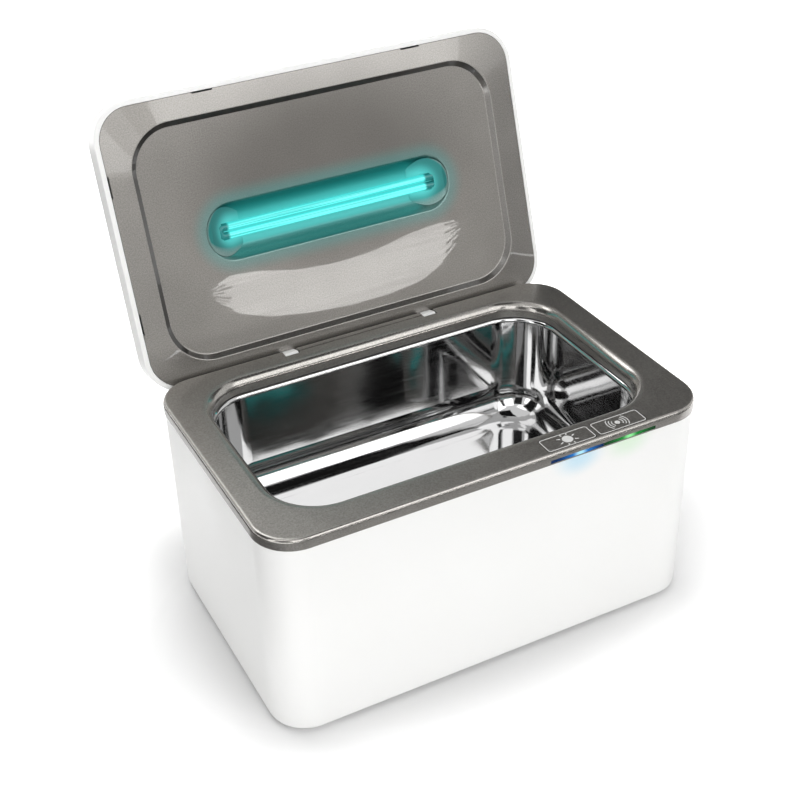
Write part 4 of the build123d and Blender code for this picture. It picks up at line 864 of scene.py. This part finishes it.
# soft boxes, with places and sizes in metres; only a mirrored one shows in shiny surfaces
softBoxes = {
    "front_softbox": {
        "place": (0.42, -1.4, 0.95), "aim": (0, 0, 0.06), "size": (1.0, 0.6), "watts": 6.4, "mirrored": False,
    },
    "front_fill": {
        "place": (-0.85, -1.25, 0.55), "aim": (0, 0, 0.08), "size": (1.2, 0.8), "watts": 8.2, "mirrored": False,
    },
    "back_softbox": {
        "place": (-0.2, 0.75, 1.15), "aim": (0, 0, 0.08), "size": (0.7, 0.5), "watts": 4.2, "mirrored": True,
    },
    "overhead_fill": {
        "place": (0.2, 0.2, 2.6), "aim": (0.03, 0.03, 0), "size": (0.8, 0.8), "watts": 19.0, "mirrored": False,
    },
}


def aimAt(item, place, target):
    item.location = place
    item.rotation_euler = (Vector(target) - Vector(place)).to_track_quat("-Z", "Y").to_euler()


for name, look in softBoxes.items():
    lightData = bpy.data.lights.new(name, "AREA")
    lightData.shape = "RECTANGLE"
    lightData.size, lightData.size_y = look["size"]
    lightData.energy = look["watts"]
    softBox = bpy.data.objects.new(name, lightData)
    bpy.context.scene.collection.objects.link(softBox)
    aimAt(softBox, look["place"], look["aim"])
    softBox.visible_glossy = look["mirrored"]
print("soft boxes placed")

# cards that only shiny surfaces see, by compass turn from the back, rise in degrees, distance and size in metres
cardAim = (0, 0, 0.08)
mirroredCards = {
    "back_right_card": {"turn": 48, "rise": 34, "distance": 1.05, "size": (1.15, 0.95), "shade": 0.012},
    "top_card": {"turn": 100, "rise": 76, "distance": 1.15, "size": (0.7, 0.5), "shade": 0.012},
    "left_card": {"turn": -80, "rise": 36, "distance": 1.0, "size": (0.68, 0.77), "shade": 0.015},
    "left_bright_strip": {"turn": -107, "rise": 18, "distance": 1.2, "size": (0.25, 0.87), "shade": 3.0},
    "left_bright_card": {"turn": -108, "rise": 56, "distance": 1.25, "size": (0.56, 0.31), "shade": 2.4},
    "left_front_card": {"turn": -134, "rise": 32, "distance": 1.2, "size": (0.43, 0.7), "shade": 0.03},
    "front_left_bright_card": {"turn": -164, "rise": 38, "distance": 1.3, "size": (0.5, 0.8), "shade": 2.7},
    "front_low_card": {"turn": 156, "rise": 8, "distance": 1.45, "size": (2.1, 0.66), "shade": 0.28},
    "front_bright_card": {"turn": 154, "rise": 42.5, "distance": 1.4, "size": (0.72, 0.93), "shade": 2.7},
    "front_post_card": {"turn": 174, "rise": 40, "distance": 1.25, "size": (0.15, 0.55), "shade": 0.04},
}
floorCards = {    # the same, lying just above the floor
    "floor_card_front": {"place": (0.35, -0.55, 0.002), "size": (1.6, 0.8), "shade": 0.05},
    "floor_card_left": {"place": (-0.55, 0.25, 0.002), "size": (0.8, 0.8), "shade": 0.05},
}


cardMottle = {"grainMm": 2.0, "swing": 0.1}


def glowingCard(shade):
    # a glowing card, mottled like napped felt: gives out an even, chosen amount of light, whatever falls on it
    material, tree = newMaterial("glowingCard")
    nap = addNode(tree, "TexNoise", {"Scale": grainScale(cardMottle["grainMm"]), "Detail": 2.0})
    power = addNode(tree, "MapRange", {
        "Value": nap, "To Min": shade * (1 - cardMottle["swing"]), "To Max": shade * (1 + cardMottle["swing"]),
    })
    shader = addNode(tree, "Emission", {"Color": hexToLinear("FFFFFF"), "Strength": power})
    addNode(tree, "OutputMaterial", {"Surface": shader})
    return material


def showInMirrors(card):
    # only shiny surfaces see it, and it throws no shadow
    card.visible_camera = False
    card.visible_diffuse = False
    card.visible_shadow = False


for name, look in mirroredCards.items():
    turned, raised = radians(look["turn"]), radians(look["rise"])
    outward = Vector((sin(turned) * cos(raised), cos(turned) * cos(raised), sin(raised)))
    card = addMesh(name, flatCorners(*look["size"]), [(0, 1, 2, 3)], glowingCard(look["shade"]))
    aimAt(card, Vector(cardAim) + outward * look["distance"], cardAim)
    showInMirrors(card)
for name, look in floorCards.items():
    card = addMesh(name, flatCorners(*look["size"]), [(0, 1, 2, 3)], glowingCard(look["shade"]))
    card.location = look["place"]
    showInMirrors(card)
print("cards placed")

# a bowed strip light whose shine lies across the lid's liner
stripLight = {
    "power": (5.625, 8.625), "colour": "FFFDFA", "streakMm": (250.0, 1000.0, 3.846), "strands": 16, "steps": 24,
    "y": -1.2, "stations": (    # in metres: x, upper z and lower z
        (0.306, 0.281, 0.262), (0.340, 0.293, 0.236), (0.380, 0.290, 0.222), (0.438, 0.277, 0.212),
        (0.500, 0.272, 0.207), (0.565, 0.275, 0.207), (0.625, 0.286, 0.214), (0.672, 0.290, 0.234),
        (0.710, 0.288, 0.262),
    ),
    # hundredths of the length that each strand leaves out at its two ends
    "starts": (5, 0, 9, 3, 12, 1, 7, 0, 4, 10, 2, 8, 1, 6, 3, 9),
    "ends": (2, 8, 0, 5, 1, 9, 3, 6, 0, 4, 10, 2, 7, 12, 5, 14),
}


def frostedAcrylic(name, look):
    # sanded acrylic over a row of lamps: glows evenly, a little streaked along its length
    material, tree = newMaterial(name)
    coordinates = addNode(tree, "TexCoord")
    stretched = addNode(tree, "Mapping", {
        "Vector": coordinates.outputs["Object"], "Scale": tuple(grainScale(size) for size in look["streakMm"]),
    })
    streaks = addNode(tree, "TexNoise", {"Vector": stretched, "Scale": 1.0, "Detail": 3.0})
    power = addNode(tree, "MapRange", {
        "Value": streaks, "From Min": noiseSpan[0], "From Max": noiseSpan[1],
        "To Min": look["power"][0], "To Max": look["power"][1],
    })
    shader = addNode(tree, "Emission", {"Color": hexToLinear(look["colour"]), "Strength": power})
    addNode(tree, "OutputMaterial", {"Surface": shader})
    return material


def stationAt(stations, share):
    # x, upper z and lower z at a share of the strip's length
    reach = share * (len(stations) - 1)
    index = min(int(reach), len(stations) - 2)
    return [a + (b - a) * (reach - index) for a, b in zip(stations[index], stations[index + 1])]


stripCorners, stripFaces = [], []
for strand in range(stripLight["strands"]):
    start, end = stripLight["starts"][strand] / 100, 1 - stripLight["ends"][strand] / 100
    for step in range(stripLight["steps"] + 1):
        x, upper, lower = stationAt(stripLight["stations"], start + (end - start) * step / stripLight["steps"])
        if step:
            corner = len(stripCorners) - 2
            stripFaces.append((corner, corner + 1, corner + 3, corner + 2))
        for side in (strand, strand + 1):
            stripCorners.append((x, 0, upper + (lower - upper) * side / stripLight["strands"]))
strip = addMesh("strip_light", stripCorners, stripFaces, frostedAcrylic("frostedAcrylicStrip", stripLight))
strip.location = (0, stripLight["y"], 0)
showInMirrors(strip)

bpy.context.scene.view_settings.view_transform = "Standard"
print("studio lit")
